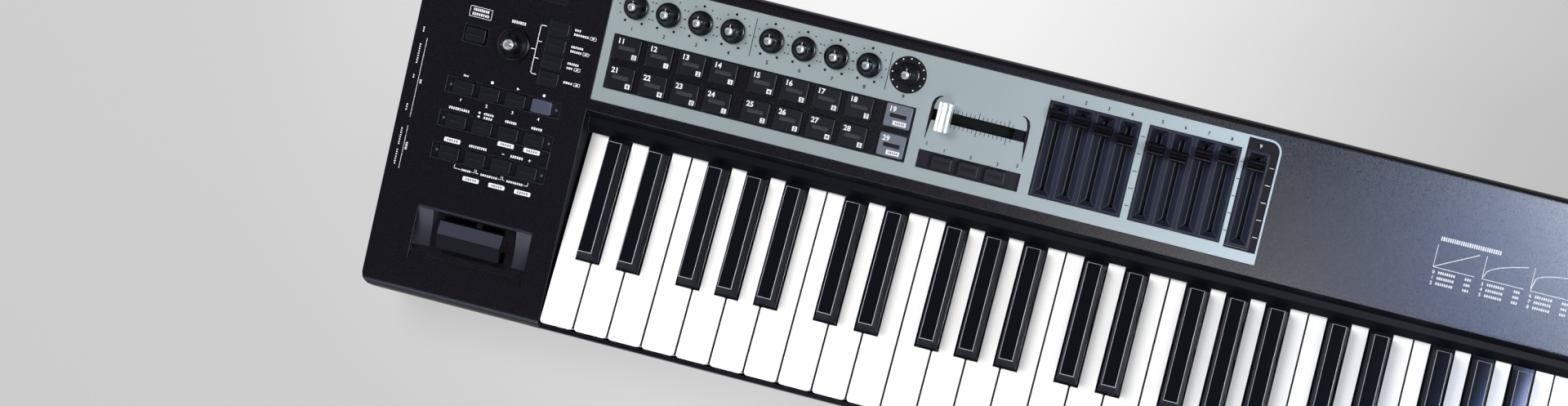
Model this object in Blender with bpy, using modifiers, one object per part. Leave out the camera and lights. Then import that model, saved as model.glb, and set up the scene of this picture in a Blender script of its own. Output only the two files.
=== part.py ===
"""A portable keyboard controller: four octaves and a C, a tilted panel of knobs, pads and faders,
a bender and the sockets in its left side.

Metres, +Z up. The player sits at -Y. The origin lies under the middle of the case, on the floor.
Panel pieces hang on an empty whose X runs along the keys, Y up the slope and Z out of the panel.
"""

import math

import bmesh
import bpy
from mathutils import Matrix, Vector

CASE_WIDTH = 0.829
CASE_DEPTH = 0.246
CASE_WALL = 0.0026
CASE_CORNER = 0.008
FRONT_EDGE = 0.007
REAR_EDGE = 0.004
SPLIT_HEIGHT = 0.024
FLOOR_THICKNESS = 0.003
FOOT_HEIGHT = 0.004
FOOT_RADIUS = 0.009
FOOT_INSET = 0.030
SEAT_GAP = 0.0003
SLIDE_GAP = 0.0006

KEY_TOP = 0.0612
LEFT_BLOCK = 0.1244
FRONT_RAIL = 0.0046
RAIL_DROP = 0.007
KEY_SIDE_GAP = 0.0012
OCTAVES = 4
NATURAL_PITCH = 0.0235
NATURAL_GAP = 0.001
NATURAL_LENGTH = 0.140
NATURAL_HEIGHT = 0.015
NATURAL_CORNER = 0.0025
KEY_WALL = 0.0016
SHARP_SLOT = 0.0165
SHARP_BASE = 0.0142
SHARP_TOP = 0.0094
SHARP_RISE = 0.012
SHARP_FRONT = 0.047
SHARP_SLOPE = 0.0055
SHARP_REAR = 0.1275
SHARP_GAP = 0.001
SHARP_PLACES = ((1, -0.0028), (2, 0.0018), (4, -0.0038), (5, -0.0004), (6, 0.0030))
HINGE_BACK = 0.166
SPINE_DEPTH = 0.006
SPINE_HEIGHT = 0.003
SPINE_STEP = 0.0034
SHARP_SPINE_DROP = 0.0062
ARM_INSET = 0.0012
KEY_TRAVEL = 0.0099

PANEL_TILT = math.radians(9.1)
PANEL_DROP = 0.003
LIP_START = 0.1454
LIP_ROLL = 0.007
LIP_LEDGE = 0.0092
LIP_BOTTOM = 0.0016
LIP_FRONT = 0.1303
LIP_FACE = 0.0050
LIP_RISER = 0.0032
LIP_WALL = 0.0024
CHEEK_WALL = 0.0026
CHEEK_DROP = 0.018

PLATE_WIDTH = 0.4506
PLATE_LOW = 0.1530
PLATE_HIGH = 0.2350
PLATE_CORNER = 0.008
PLATE_THICKNESS = 0.0008

CONTROL_LEFT = 0.0165
CONTROL_PITCH = 0.0221
CONTROL_BREAK = 0.0044
KNOB_LINE = 0.2190
KNOB_RADIUS = 0.0083
KNOB_HEIGHT = 0.0135
KNOB_TOP = 0.0042
SHAFT_RADIUS = 0.003
SHAFT_DEPTH = 0.0067
DIAL_PLACE = (-0.0582, 0.1755)
DIAL_RADIUS = 0.011

PAD_LINES = (0.1910, 0.1714)
PAD_SIZE = (0.0178, 0.0152)
PAD_RECESS = 0.0015
PAD_RISE = 0.0012
PAD_MARGIN = 0.0008
BUTTON_SIZE = (0.0134, 0.0090)
BUTTON_RISE = 0.0012
BUTTON_PITCH = 0.0180
BUTTON_BASE = 0.0020
BUTTON_MARGIN = 0.0014
ROW_CENTRE = -0.0579
ROW_RECESS = (0.0785, 0.0104)
ROW_LINES = (0.1397, 0.1168, 0.0950)
FUNCTION_LEFT = -0.0305
FUNCTION_LINES = (0.1932, 0.1819, 0.1706, 0.1593)
MAPPING_PLACE = (-0.0848, 0.1756)
ASSIGN_CENTRE = (0.2547, 0.1678)
ASSIGN_RECESS = (0.0684, 0.0116)
DISPLAY_PLACE = (-0.0630, 0.2195)
DISPLAY_SIZE = (0.0660, 0.0200)
DISPLAY_THICKNESS = 0.0016

FADER_LEFT = 0.3044
FADER_PITCH = 0.0154
FADER_BREAK = 0.0051
FADER_SINGLE = 0.0039
TRENCH_SIZE = (0.0150, 0.0634)
TRENCH_LOW = 0.1620
TRENCH_DEPTH = 0.0055
TRENCH_FLOOR = 0.0034
FADER_SLOT = 0.0026
FADER_STEM = 0.0016
FADER_LOW = 0.1707
FADER_HIGH = 0.2168
FADER_CAP = (0.0112, 0.0074, 0.0090)
FADER_REST = (0.2168, 0.2166, 0.2145, 0.2119, 0.2112, 0.2099, 0.2147, 0.2164, 0.2163)
FADER_REACH = 0.0091
CROSS_LINE = 0.1980
CROSS_LOW = 0.2320
CROSS_HIGH = 0.2770
CROSS_CAP = (0.0094, 0.0196, 0.0095)
CROSS_RECESS = (0.0640, 0.0070, 0.0022)

DISH_CENTRE = -0.0580
DISH_SIZE = (0.0793, 0.0355)
DISH_LOW = 0.0195
DISH_DEPTH = 0.0056
DISH_RAMP = 0.0095
DISH_WALL = 0.0022
PADDLE_HOLE = (0.0455, 0.0227)
PADDLE_HOLE_LOW = 0.0300
PADDLE_SIZE = (0.0436, 0.0195)
PADDLE_LOW = 0.0312
PADDLE_RISE = 0.0045
PADDLE_UNDER = 0.0005
BENDER_DEPTH = 0.042
PIN_RADIUS = 0.002
PIN_GAP = 0.0003
HUB_RADIUS = 0.004
STEM_HALF = 0.0036
CRADLE_SIZE = (0.0240, 0.0200)
CRADLE_HOLE = (0.0160, 0.0140)
CRADLE_HEIGHT = 0.008
LEG_WALL = 0.003
LEG_SPREAD = 0.0240

SOCKET_HEIGHT = 0.040
SOCKET_DEPTH = 0.0155
SOCKET_FACE = 0.0004
BOARD_THICKNESS = 0.0016
BOARD_DROP = 0.0124
DC_BACK = 0.212
POWER_BACK = 0.189
USB_BACK = 0.171
MERGE_BACK = 0.1555
MIDI_BACKS = (0.139, 0.118)
PEDAL_BACKS = (0.098, 0.082)
DC_BORE = 0.0032
USB_HOLE = (0.0084, 0.0078)
MIDI_BORE = 0.0076
MIDI_NOSE = 0.0086
MIDI_RECESS = 0.005
PEDAL_BORE = 0.0033
PEDAL_NOSE = 0.0055
PEDAL_LENGTH = 0.014
POWER_SIZE = (0.0050, 0.0120, 0.0062)
POWER_SWING = math.radians(7)
MERGE_SIZE = (0.0056, 0.0030, 0.0022)
MERGE_TRAVEL = 0.002
SWITCH_INSET = 0.0001
SIDE_PLATE = (0.0680, 0.2245)
SIDE_PLATE_TOP = 0.058

FRAME_DROP = 0.031
FRAME_THICKNESS = 0.002
CONTACT_BACK = 0.085
CONTACT_DEPTH = 0.030
POST_RADIUS = 0.004

case_front = -CASE_DEPTH / 2
case_left = -CASE_WIDTH / 2
natural_count = 7 * OCTAVES + 1
keys_left = case_left + LEFT_BLOCK + KEY_SIDE_GAP
keys_right = keys_left + natural_count * NATURAL_PITCH
keys_front = case_front + FRONT_RAIL
well_left = keys_left - KEY_SIDE_GAP
well_right = keys_right + KEY_SIDE_GAP
panel_origin = Vector((keys_left, keys_front, KEY_TOP - PANEL_DROP))
panel_matrix = Matrix.Translation(panel_origin) @ Matrix.Rotation(PANEL_TILT, 4, "X")
hinge_y = keys_front + HINGE_BACK
floor_top = FOOT_HEIGHT + FLOOR_THICKNESS
frame_base = KEY_TOP - FRAME_DROP
trench_top = TRENCH_LOW + TRENCH_SIZE[1]


def clear_scene():
    for old in list(bpy.data.objects):
        bpy.data.objects.remove(old)


def new_collection(name, hidden=False):
    made = bpy.data.collections.new(name)
    bpy.context.scene.collection.children.link(made)
    made.hide_render = hidden
    return made


clear_scene()
parts = new_collection("portable_keyboard")
cutters = new_collection("cutters", hidden=True)


def new_material(name, colour, roughness, metallic=0.0):
    made = bpy.data.materials.new(name)
    made.use_nodes = True
    shader = made.node_tree.nodes["Principled BSDF"]
    shader.inputs["Base Color"].default_value = (*colour, 1.0)
    shader.inputs["Roughness"].default_value = roughness
    shader.inputs["Metallic"].default_value = metallic
    return made


case_plastic = new_material("case_plastic", (0.014, 0.015, 0.021), 0.45)
base_plastic = new_material("base_plastic", (0.011, 0.011, 0.013), 0.6)
plate_finish = new_material("plate_finish", (0.30, 0.36, 0.37), 0.35, 0.6)
natural_plastic = new_material("natural_plastic", (0.82, 0.81, 0.78), 0.3)
sharp_plastic = new_material("sharp_plastic", (0.008, 0.008, 0.010), 0.12)
knob_plastic = new_material("knob_plastic", (0.010, 0.010, 0.012), 0.35)
button_rubber = new_material("button_rubber", (0.020, 0.020, 0.024), 0.55)
white_plastic = new_material("white_plastic", (0.80, 0.81, 0.80), 0.4)
screen_glass = new_material("screen_glass", (0.01, 0.012, 0.015), 0.08)
foot_rubber = new_material("foot_rubber", (0.02, 0.02, 0.02), 0.8)
frame_plastic = new_material("frame_plastic", (0.10, 0.10, 0.11), 0.5)
board_dark = new_material("board_dark", (0.010, 0.016, 0.012), 0.5)
socket_plastic = new_material("socket_plastic", (0.03, 0.03, 0.03), 0.45)
contact_rubber = new_material("contact_rubber", (0.25, 0.26, 0.27), 0.7)

panel = bpy.data.objects.new("panel", None)
panel.matrix_world = panel_matrix
parts.objects.link(panel)


def panel_point(x, slope, out=0.0):
    """A point of the panel's own frame, in the world."""
    return panel_matrix @ Vector((x, slope, out))


def panel_height(y, inset=0.0):
    """The panel's height above the floor at a world y, or that of a plane under it."""
    return panel_origin.z + math.tan(PANEL_TILT) * (y - keys_front) - inset / math.cos(PANEL_TILT)


def place(name, mesh, finish, parent=None, origin=(0, 0, 0)):
    """A node when it has a finish, and a hidden helper for a Boolean when it has none."""
    made = bpy.data.objects.new(name, mesh)
    mesh.transform(Matrix.Translation(-Vector(origin)))
    made.parent = parent
    made.location = origin
    if finish is None:
        made.hide_render = True
        made.display_type = "WIRE"
        cutters.objects.link(made)
    else:
        mesh.materials.append(finish)
        parts.objects.link(made)
    return made


def box(name, low, high, finish=None, parent=None, origin=(0, 0, 0), narrow=(0.0, 0.0)):
    """A box from corner to corner. narrow takes that much off each side of its lower face."""
    low, high = Vector(low), Vector(high)
    bm = bmesh.new()
    bmesh.ops.create_cube(bm, size=1.0)
    for vert in bm.verts:
        bottom = vert.co.z < 0
        vert.co = Vector(((v + 0.5) * (b - a) + a for v, a, b in zip(vert.co, low, high)))
        if bottom:
            vert.co.x += narrow[0] if vert.co.x < (low.x + high.x) / 2 else -narrow[0]
            vert.co.y += narrow[1] if vert.co.y < (low.y + high.y) / 2 else -narrow[1]
    mesh = bpy.data.meshes.new(name)
    bm.to_mesh(mesh)
    bm.free()
    return place(name, mesh, finish, parent, origin)


def rod(name, centre, axis, radius, length, finish=None, parent=None, origin=(0, 0, 0), sides=16):
    """A cylinder that starts at centre and runs length along axis, X, Y or Z."""
    turn = {"X": Matrix.Rotation(math.pi / 2, 4, "Y"), "Y": Matrix.Rotation(-math.pi / 2, 4, "X")}
    bm = bmesh.new()
    bmesh.ops.create_cone(
        bm, cap_ends=True, segments=sides, radius1=radius, radius2=radius, depth=length
    )
    move = Matrix.Translation(Vector(centre)) @ turn.get(axis, Matrix.Identity(4))
    bm.transform(move @ Matrix.Translation((0, 0, length / 2)))
    mesh = bpy.data.meshes.new(name)
    bm.to_mesh(mesh)
    bm.free()
    return place(name, mesh, finish, parent, origin)


def rounded(corners, radii, steps=3):
    """The outline with each corner turned into an arc of its radius, in this many straight steps."""
    points = []
    for i, radius in enumerate(radii):
        here = Vector(corners[i])
        before = (Vector(corners[i - 1]) - here).normalized()
        after = (Vector(corners[(i + 1) % len(corners)]) - here).normalized()
        if radius == 0:
            points.append(here)
            continue
        half = before.angle(after) / 2
        centre = here + (before + after).normalized() * radius / math.sin(half)
        start = here + before * radius / math.tan(half) - centre
        turn = math.pi - 2 * half
        side = 1 if before.cross(after) < 0 else -1
        for step in range(steps + 1):
            points.append(centre + Matrix.Rotation(side * turn * step / steps, 2) @ start)
    return points


def prism(name, outline, low, high, axis="Z", finish=None, parent=None, origin=(0, 0, 0)):
    """An outline pushed along an axis. It is (x, y) for Z, (y, z) for X and (x, z) for Y."""
    curve = bpy.data.curves.new(name, "CURVE")
    curve.dimensions = "2D"
    curve.fill_mode = "BOTH"
    curve.extrude = (high - low) / 2
    spline = curve.splines.new("POLY")
    spline.points.add(len(outline) - 1)
    for point, (a, b) in zip(spline.points, outline):
        point.co = (a, b, 0, 1)
    spline.use_cyclic_u = True
    flat = bpy.data.objects.new(name + "_outline", curve)
    parts.objects.link(flat)
    graph = bpy.context.evaluated_depsgraph_get()
    mesh = bpy.data.meshes.new_from_object(flat.evaluated_get(graph))
    bpy.data.objects.remove(flat)
    stand = {
        "Z": Matrix.Identity(4),
        "X": Matrix(((0, 0, 1, 0), (1, 0, 0, 0), (0, 1, 0, 0), (0, 0, 0, 1))),
        "Y": Matrix(((1, 0, 0, 0), (0, 0, -1, 0), (0, 1, 0, 0), (0, 0, 0, 1))),
    }
    middle = -(high + low) / 2 if axis == "Y" else (high + low) / 2
    bm = bmesh.new()
    bm.from_mesh(mesh)
    bmesh.ops.remove_doubles(bm, verts=bm.verts, dist=1e-6)
    bm.transform(stand[axis] @ Matrix.Translation((0, 0, middle)))
    bmesh.ops.recalc_face_normals(bm, faces=bm.faces)
    bm.to_mesh(mesh)
    bm.free()
    return place(name, mesh, finish, parent, origin)


def turned(name, profile, finish, parent, origin, steps=20):
    """A profile of (radius, height) from its top to its bottom, turned about the piece's own Z."""
    bm = bmesh.new()
    line = [bm.verts.new((r, 0, h)) for r, h in profile]
    for a, b in zip(line, line[1:]):
        bm.edges.new((a, b))
    mesh = bpy.data.meshes.new(name)
    bm.to_mesh(mesh)
    bm.free()
    made = place(name, mesh, finish)
    made.parent = parent
    made.location = origin
    screw = made.modifiers.new("turn", "SCREW")
    screw.steps = steps
    screw.render_steps = steps
    screw.use_merge_vertices = True
    screw.merge_threshold = 1e-5
    return made


def apply_to(target, operation, tools):
    """Cuts the tools from the target, or joins them to it, in one Boolean on a hidden collection."""
    group = bpy.data.collections.new(f"{target.name}_{operation.lower()}_{len(target.modifiers)}")
    cutters.children.link(group)
    for tool in tools:
        cutters.objects.unlink(tool)
        group.objects.link(tool)
    modifier = target.modifiers.new(operation.lower(), "BOOLEAN")
    modifier.operation = operation
    modifier.operand_type = "COLLECTION"
    modifier.collection = group
    modifier.solver = "EXACT"


def rectangle(left, low, right, high):
    return [(left, low), (right, low), (right, high), (left, high)]


def plan_outline(inset):
    """The case seen from above, or the outline this far inside it."""
    corners = rectangle(
        case_left + inset, case_front + inset, -case_left - inset, -case_front - inset
    )
    return rounded(corners, [max(CASE_CORNER - inset, 0.001)] * 4)


def side_outline(inset, low):
    """The wedge seen from the side: upright front, tilted panel, upright back."""
    front = case_front + inset
    back = -case_front - inset
    corners = [
        (front, low),
        (back, low),
        (back, panel_height(back, inset)),
        (front, panel_height(front, inset)),
    ]
    radii = [0, 0, max(REAR_EDGE - inset, 0.001), max(FRONT_EDGE - inset, 0.001)]
    return rounded(corners, radii)


def wedge(name, inset, low, finish=None):
    """The wedge with its upright corners rounded as in the plan."""
    made = prism(
        name, side_outline(inset, low), case_left + inset, -case_left - inset, "X", finish
    )
    plan = prism(name + "_plan", plan_outline(inset), low - 0.01, 0.2)
    round_off = made.modifiers.new("round_off", "BOOLEAN")
    round_off.operation = "INTERSECT"
    round_off.object = plan
    return made


def control_x(number):
    """The knobs and pads stand in fours, with a wider step after each four."""
    return CONTROL_LEFT + number * CONTROL_PITCH + (number // 4) * CONTROL_BREAK


def fader_x(number):
    extra = (0, FADER_BREAK, FADER_BREAK + FADER_SINGLE)[number // 4]
    return FADER_LEFT + number * FADER_PITCH + extra


def panel_box(name, centre, size, low, high, finish=None, origin=(0, 0, 0), narrow=(0.0, 0.0)):
    """A box on the panel, from its middle, its width and depth, and how far out it runs."""
    half = (size[0] / 2, size[1] / 2)
    return box(
        name,
        (centre[0] - half[0], centre[1] - half[1], low),
        (centre[0] + half[0], centre[1] + half[1], high),
        finish,
        panel,
        origin,
        narrow,
    )


def grown(size, margin):
    return (size[0] + 2 * margin, size[1] + 2 * margin)


def lip_outline():
    """The fallboard behind the keys: the panel rolls over, drops to a ledge and ends in a lip."""
    start = panel_matrix @ Vector((0, LIP_START + LIP_ROLL, 0))
    edge = panel_matrix @ Vector((0, LIP_START, 0))
    front = keys_front + LIP_FRONT
    face_top = front + LIP_FACE
    ledge = KEY_TOP + LIP_LEDGE
    foot = edge.y - LIP_RISER
    under = LIP_WALL / math.cos(PANEL_TILT)
    slack = 0.0002
    outside = [
        (start.y, start.z),
        (edge.y, edge.z),
        (foot, ledge + 0.0005),
        (face_top, ledge),
        (front, KEY_TOP + LIP_BOTTOM + 0.0015),
        (front, KEY_TOP + LIP_BOTTOM),
    ]
    inside = [
        (front + LIP_WALL, KEY_TOP + LIP_BOTTOM),
        (face_top + slack, ledge - LIP_WALL),
        (foot + LIP_WALL - slack, ledge - LIP_WALL),
        (edge.y + LIP_WALL, edge.z - under),
        (start.y, start.z - under + slack),
    ]
    radii = [0, 0.006, 0.001, 0.0015, 0, 0] + [0] * len(inside)
    return rounded(outside + inside, radii, 4)


def cheek_outline():
    """The upright wall between a block of the case and the keys."""
    back = panel_matrix @ Vector((0, LIP_START + LIP_ROLL, 0))
    front = case_front + CASE_WALL / 2
    low = KEY_TOP - CHEEK_DROP
    depth = 0.0006
    return [
        (front, low),
        (back.y, low),
        (back.y, panel_height(back.y, depth)),
        (front + FRONT_EDGE, panel_height(front + FRONT_EDGE, depth)),
        (front, panel_height(front, FRONT_EDGE)),
    ]


def trench_cutters():
    made = []
    for number in range(9):
        centre = (fader_x(number), TRENCH_LOW + TRENCH_SIZE[1] / 2)
        side = (TRENCH_SIZE[0] - TRENCH_FLOOR) / 2
        made.append(
            panel_box(
                f"trench_{number + 1}", centre, TRENCH_SIZE, -TRENCH_DEPTH, 0.0004,
                narrow=(side, side),
            )
        )
        slot_low = FADER_LOW - FADER_CAP[1] / 2 - SLIDE_GAP
        slot_high = FADER_HIGH + FADER_CAP[1] / 2 + SLIDE_GAP
        middle = (fader_x(number), (slot_low + slot_high) / 2)
        size = (FADER_SLOT, slot_high - slot_low)
        made.append(panel_box(f"fader_slot_{number + 1}", middle, size, -0.02, -0.004))
    return made


def cross_slot(low, high):
    start = CROSS_LOW - FADER_STEM / 2 - SLIDE_GAP
    end = CROSS_HIGH + FADER_STEM / 2 + SLIDE_GAP
    wide = CROSS_CAP[1] / 2.6
    return panel_box(
        "cross_slot", ((start + end) / 2, CROSS_LINE), (end - start, wide + 2 * SLIDE_GAP), low, high
    )


def dish_outline():
    """The bender's dish seen from the side, as it is cut: a ramp down from the front, a floor,
    and a steep wall at the back."""
    high = DISH_LOW + DISH_SIZE[1]
    return rounded(
        [
            (DISH_LOW, 0.002),
            (DISH_LOW, 0.0),
            (DISH_LOW + DISH_RAMP, -DISH_DEPTH),
            (high, -DISH_DEPTH),
            (high, 0.002),
        ],
        [0, 0, 0.004, 0.0012, 0],
    )


def dish(name):
    half = DISH_SIZE[0] / 2
    return prism(name, dish_outline(), DISH_CENTRE - half, DISH_CENTRE + half, "X", None, panel)


def make_plate():
    outline = rounded(
        rectangle(0, PLATE_LOW, PLATE_WIDTH, PLATE_HIGH), [0.0006, 0.0006, PLATE_CORNER, 0.0006], 5
    )
    plate = prism(
        "control_plate", outline, -PLATE_THICKNESS, 0, "Z", plate_finish, panel
    )
    deep = -0.003
    holes = []
    for number in range(9):
        centre = (control_x(number), KNOB_LINE, deep)
        holes.append(
            rod(f"plate_hole_{number + 1}", centre, "Z", SHAFT_RADIUS + SLIDE_GAP, 0.01, None, panel)
        )
    holes.append(pad_window("pad_window", deep, 0.002))
    holes.append(
        panel_box("assign_window", ASSIGN_CENTRE, grown(ASSIGN_RECESS, SEAT_GAP), deep, 0.002)
    )
    size = grown(CROSS_RECESS[:2], SEAT_GAP)
    holes.append(panel_box("cross_window", (cross_middle(), CROSS_LINE), size, deep, 0.002))
    for first, count in ((0, 4), (4, 4), (8, 1)):
        left = fader_x(first) - TRENCH_SIZE[0] / 2 - SEAT_GAP
        right = fader_x(first + count - 1) + TRENCH_SIZE[0] / 2 + SEAT_GAP
        size = (right - left, TRENCH_SIZE[1] + 2 * SEAT_GAP)
        middle = ((left + right) / 2, (TRENCH_LOW + trench_top) / 2)
        holes.append(panel_box(f"fader_window_{first + 1}", middle, size, deep, 0.002))
    apply_to(plate, "DIFFERENCE", holes)


def cross_middle():
    return (CROSS_LOW + CROSS_HIGH) / 2


def pad_window(name, low, high, margin=0.0):
    left = control_x(0) - PAD_SIZE[0] / 2 - 0.0016 - margin
    right = control_x(8) + PAD_SIZE[0] / 2 + 0.0016 + margin
    bottom = PAD_LINES[1] - PAD_SIZE[1] / 2 - 0.0016 - margin
    top = PAD_LINES[0] + PAD_SIZE[1] / 2 + 0.0006 + margin
    return box(name, (left, bottom, low), (right, top, high), None, panel)


def make_top_case():
    top = wedge("top_case", 0, SPLIT_HEIGHT + SEAT_GAP, case_plastic)
    apply_to(top, "DIFFERENCE", [wedge("case_hollow", CASE_WALL, SPLIT_HEIGHT - 0.01)])
    well_back = panel_point(0, LIP_START).y
    well = box(
        "key_well",
        (well_left, keys_front - KEY_SIDE_GAP, 0),
        (well_right, well_back, 0.2),
    )
    notch = box(
        "rail_notch", (well_left, case_front - 0.01, KEY_TOP - RAIL_DROP), (well_right, keys_front, 0.2)
    )
    apply_to(top, "DIFFERENCE", [well, notch])
    overlap = 0.0008
    lip = prism("lip", lip_outline(), well_left - overlap, well_right + overlap, "X")
    left_cheek = prism("left_cheek", cheek_outline(), well_left - CHEEK_WALL, well_left, "X")
    right_cheek = prism("right_cheek", cheek_outline(), well_right, well_right + CHEEK_WALL, "X")
    trench_low = -(TRENCH_DEPTH + CASE_WALL)
    left = fader_x(0) - TRENCH_SIZE[0] / 2 - CASE_WALL
    right = fader_x(8) + TRENCH_SIZE[0] / 2 + CASE_WALL
    block = box(
        "trench_block",
        (left, TRENCH_LOW - CASE_WALL, trench_low),
        (right, trench_top + CASE_WALL, -0.0012),
        None,
        panel,
    )
    posts = [panel_post(i, x, s) for i, (x, s) in enumerate(board_posts())]
    apply_to(top, "UNION", [lip, left_cheek, right_cheek, block] + posts)
    side_notch = side_plate_box("side_notch", SEAT_GAP, 0.004)
    apply_to(top, "DIFFERENCE", panel_cutters() + [side_notch])
    return top


def side_plate_box(name, margin, deeper=0.0, finish=None):
    """The plate of sockets in the left side, or the notch for it, which is larger all round."""
    low, high = (keys_front + back for back in SIDE_PLATE)
    return box(
        name,
        (case_left - deeper, low - margin, SPLIT_HEIGHT + SEAT_GAP - deeper),
        (case_left + CASE_WALL + deeper, high + margin, SIDE_PLATE_TOP + margin),
        finish,
    )


def make_side_plate():
    plate = side_plate_box("socket_panel", 0, 0, case_plastic)
    apply_to(plate, "DIFFERENCE", side_cutters())


def board_posts():
    """Where posts under the panel hold the panel board."""
    near = (ROW_LINES[2] - 0.014, (ROW_LINES[0] + MAPPING_PLACE[1]) / 2)
    left = [(x, s) for x in (-0.097, -0.014) for s in near]
    assign_back = ASSIGN_CENTRE[1] + 0.012
    right = [(control_x(0) - 0.012, 0.2075), (control_x(8) + 0.0145, 0.2075), (0.292, assign_back)]
    return left + right + [(PLATE_WIDTH - 0.0015, 0.2275)]


def panel_post(number, x, slope):
    return panel_box(
        f"panel_post_{number}", (x, slope), (0.004, 0.004), -(BOARD_DROP - SEAT_GAP), -CASE_WALL / 2
    )


def panel_cutters():
    pocket = rounded(
        rectangle(
            -SEAT_GAP, PLATE_LOW - SEAT_GAP, PLATE_WIDTH + SEAT_GAP, PLATE_HIGH + SEAT_GAP
        ),
        [0.0006, 0.0006, PLATE_CORNER, 0.0006],
        5,
    )
    floor = -(PLATE_THICKNESS + SEAT_GAP)
    under = -0.03
    made = [prism("plate_pocket", pocket, floor, 0.004, "Z", None, panel)]
    for number in range(9):
        centre = (control_x(number), KNOB_LINE, under)
        made.append(
            rod(f"knob_hole_{number + 1}", centre, "Z", SHAFT_RADIUS + SLIDE_GAP, 0.04, None, panel)
        )
    dial = (*DIAL_PLACE, under)
    made.append(rod("dial_hole", dial, "Z", SHAFT_RADIUS + SLIDE_GAP, 0.04, None, panel))
    made.append(pad_window("pad_floor", -PAD_RECESS, 0.003, -SEAT_GAP))
    for number in range(9):
        for line, slope in enumerate(PAD_LINES):
            size = grown(PAD_SIZE, SLIDE_GAP / 2)
            centre = (control_x(number), slope)
            made.append(panel_box(f"pad_hole_{number}_{line}", centre, size, -0.02, -0.0005))
    deep = -0.02
    for number, slope in enumerate(ROW_LINES):
        made.append(
            panel_box(f"row_window_{number}", (ROW_CENTRE, slope), ROW_RECESS, deep, 0.002)
        )
    made.append(panel_box("assign_hole", ASSIGN_CENTRE, ASSIGN_RECESS, deep, 0.002))
    for number, slope in enumerate(FUNCTION_LINES):
        size = grown(BUTTON_SIZE, SLIDE_GAP / 2)
        made.append(
            panel_box(f"function_hole_{number}", (FUNCTION_LEFT, slope), size, deep, 0.002)
        )
    size = grown(BUTTON_SIZE, BUTTON_MARGIN)
    made.append(panel_box("mapping_hole", MAPPING_PLACE, size, deep, 0.002))
    size = grown(DISPLAY_SIZE, SEAT_GAP)
    made.append(panel_box("display_hole", DISPLAY_PLACE, size, deep, 0.002))
    middle = (cross_middle(), CROSS_LINE)
    made.append(panel_box("cross_recess", middle, CROSS_RECESS[:2], -CROSS_RECESS[2], 0.002))
    made.append(cross_slot(deep, -0.001))
    made.append(dish("dish_mouth"))
    return made + trench_cutters()


def side_box(name, back, size, low, high, finish=None, origin=(0, 0, 0)):
    """A box in the left side: how far back its middle is, its width and height, and its reach."""
    y = keys_front + back
    return box(
        name,
        (case_left + low, y - size[0] / 2, SOCKET_HEIGHT - size[1] / 2),
        (case_left + high, y + size[0] / 2, SOCKET_HEIGHT + size[1] / 2),
        finish,
        None,
        origin,
    )


def side_rod(name, back, radius, low, high, sides=20):
    centre = (case_left + low, keys_front + back, SOCKET_HEIGHT)
    return rod(name, centre, "X", radius, high - low, sides=sides)


dc_housing = (0.0096, 0.0110)
usb_housing = (0.0124, 0.0118)


def side_cutters():
    """The holes in the plate of sockets, each a little larger than what shows in it."""
    out, deep = -0.004, CASE_WALL + 0.004
    made = [
        side_box("dc_cut", DC_BACK, grown(dc_housing, SEAT_GAP), out, deep),
        side_box("usb_cut", USB_BACK, grown(usb_housing, SEAT_GAP), out, deep),
        side_box("power_cut", POWER_BACK, grown(POWER_SIZE[1:], SLIDE_GAP), out, deep),
    ]
    merge = (MERGE_SIZE[1] + 2 * MERGE_TRAVEL + 2 * SLIDE_GAP, MERGE_SIZE[2] + 2 * SEAT_GAP)
    made.append(side_box("merge_cut", MERGE_BACK, merge, out, deep))
    for number, back in enumerate(MIDI_BACKS):
        made.append(side_rod(f"midi_cut_{number}", back, MIDI_NOSE + SEAT_GAP, out, deep))
    for number, back in enumerate(PEDAL_BACKS):
        made.append(side_rod(f"pedal_cut_{number}", back, PEDAL_NOSE + SEAT_GAP, out, deep))
    return made


def make_bottom_case():
    top = SPLIT_HEIGHT
    bottom = prism("bottom_case", plan_outline(0), FOOT_HEIGHT, top, "Z", base_plastic)
    hollow = prism("tray_hollow", plan_outline(CASE_WALL), floor_top, top + 0.01)
    apply_to(bottom, "DIFFERENCE", [hollow])
    sunk = 0.001
    posts = []
    reach = frame_base - SEAT_GAP - floor_top + sunk
    for column in range(5):
        x = keys_left + 0.02 + column * (keys_right - keys_left - 0.04) / 4
        for row, back in enumerate((0.020, HINGE_BACK)):
            centre = (x, keys_front + back, floor_top - sunk)
            posts.append(rod(f"post_{column}_{row}", centre, "Z", POST_RADIUS, reach, sides=12))
    board_x = case_left + SOCKET_DEPTH
    board_low = SOCKET_HEIGHT - board_height / 2 - SEAT_GAP
    for number, back in enumerate((PEDAL_BACKS[1], DC_BACK)):
        y = keys_front + back
        low = (board_x - 0.002, y - 0.003, floor_top - sunk)
        high = (board_x + 0.004, y + 0.003, board_low)
        posts.append(box(f"board_rest_{number}", low, high))
    apply_to(bottom, "UNION", posts)


board_height = 0.026


def make_feet():
    for y_side, y_name in ((-1, "front"), (1, "rear")):
        for x_side, x_name in ((-1, "left"), (1, "right")):
            centre = (
                x_side * (CASE_WIDTH / 2 - FOOT_INSET), y_side * (CASE_DEPTH / 2 - FOOT_INSET), 0
            )
            rod(
                f"foot_{y_name}_{x_name}", centre, "Z", FOOT_RADIUS, FOOT_HEIGHT - SEAT_GAP,
                foot_rubber, sides=24,
            )


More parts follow.
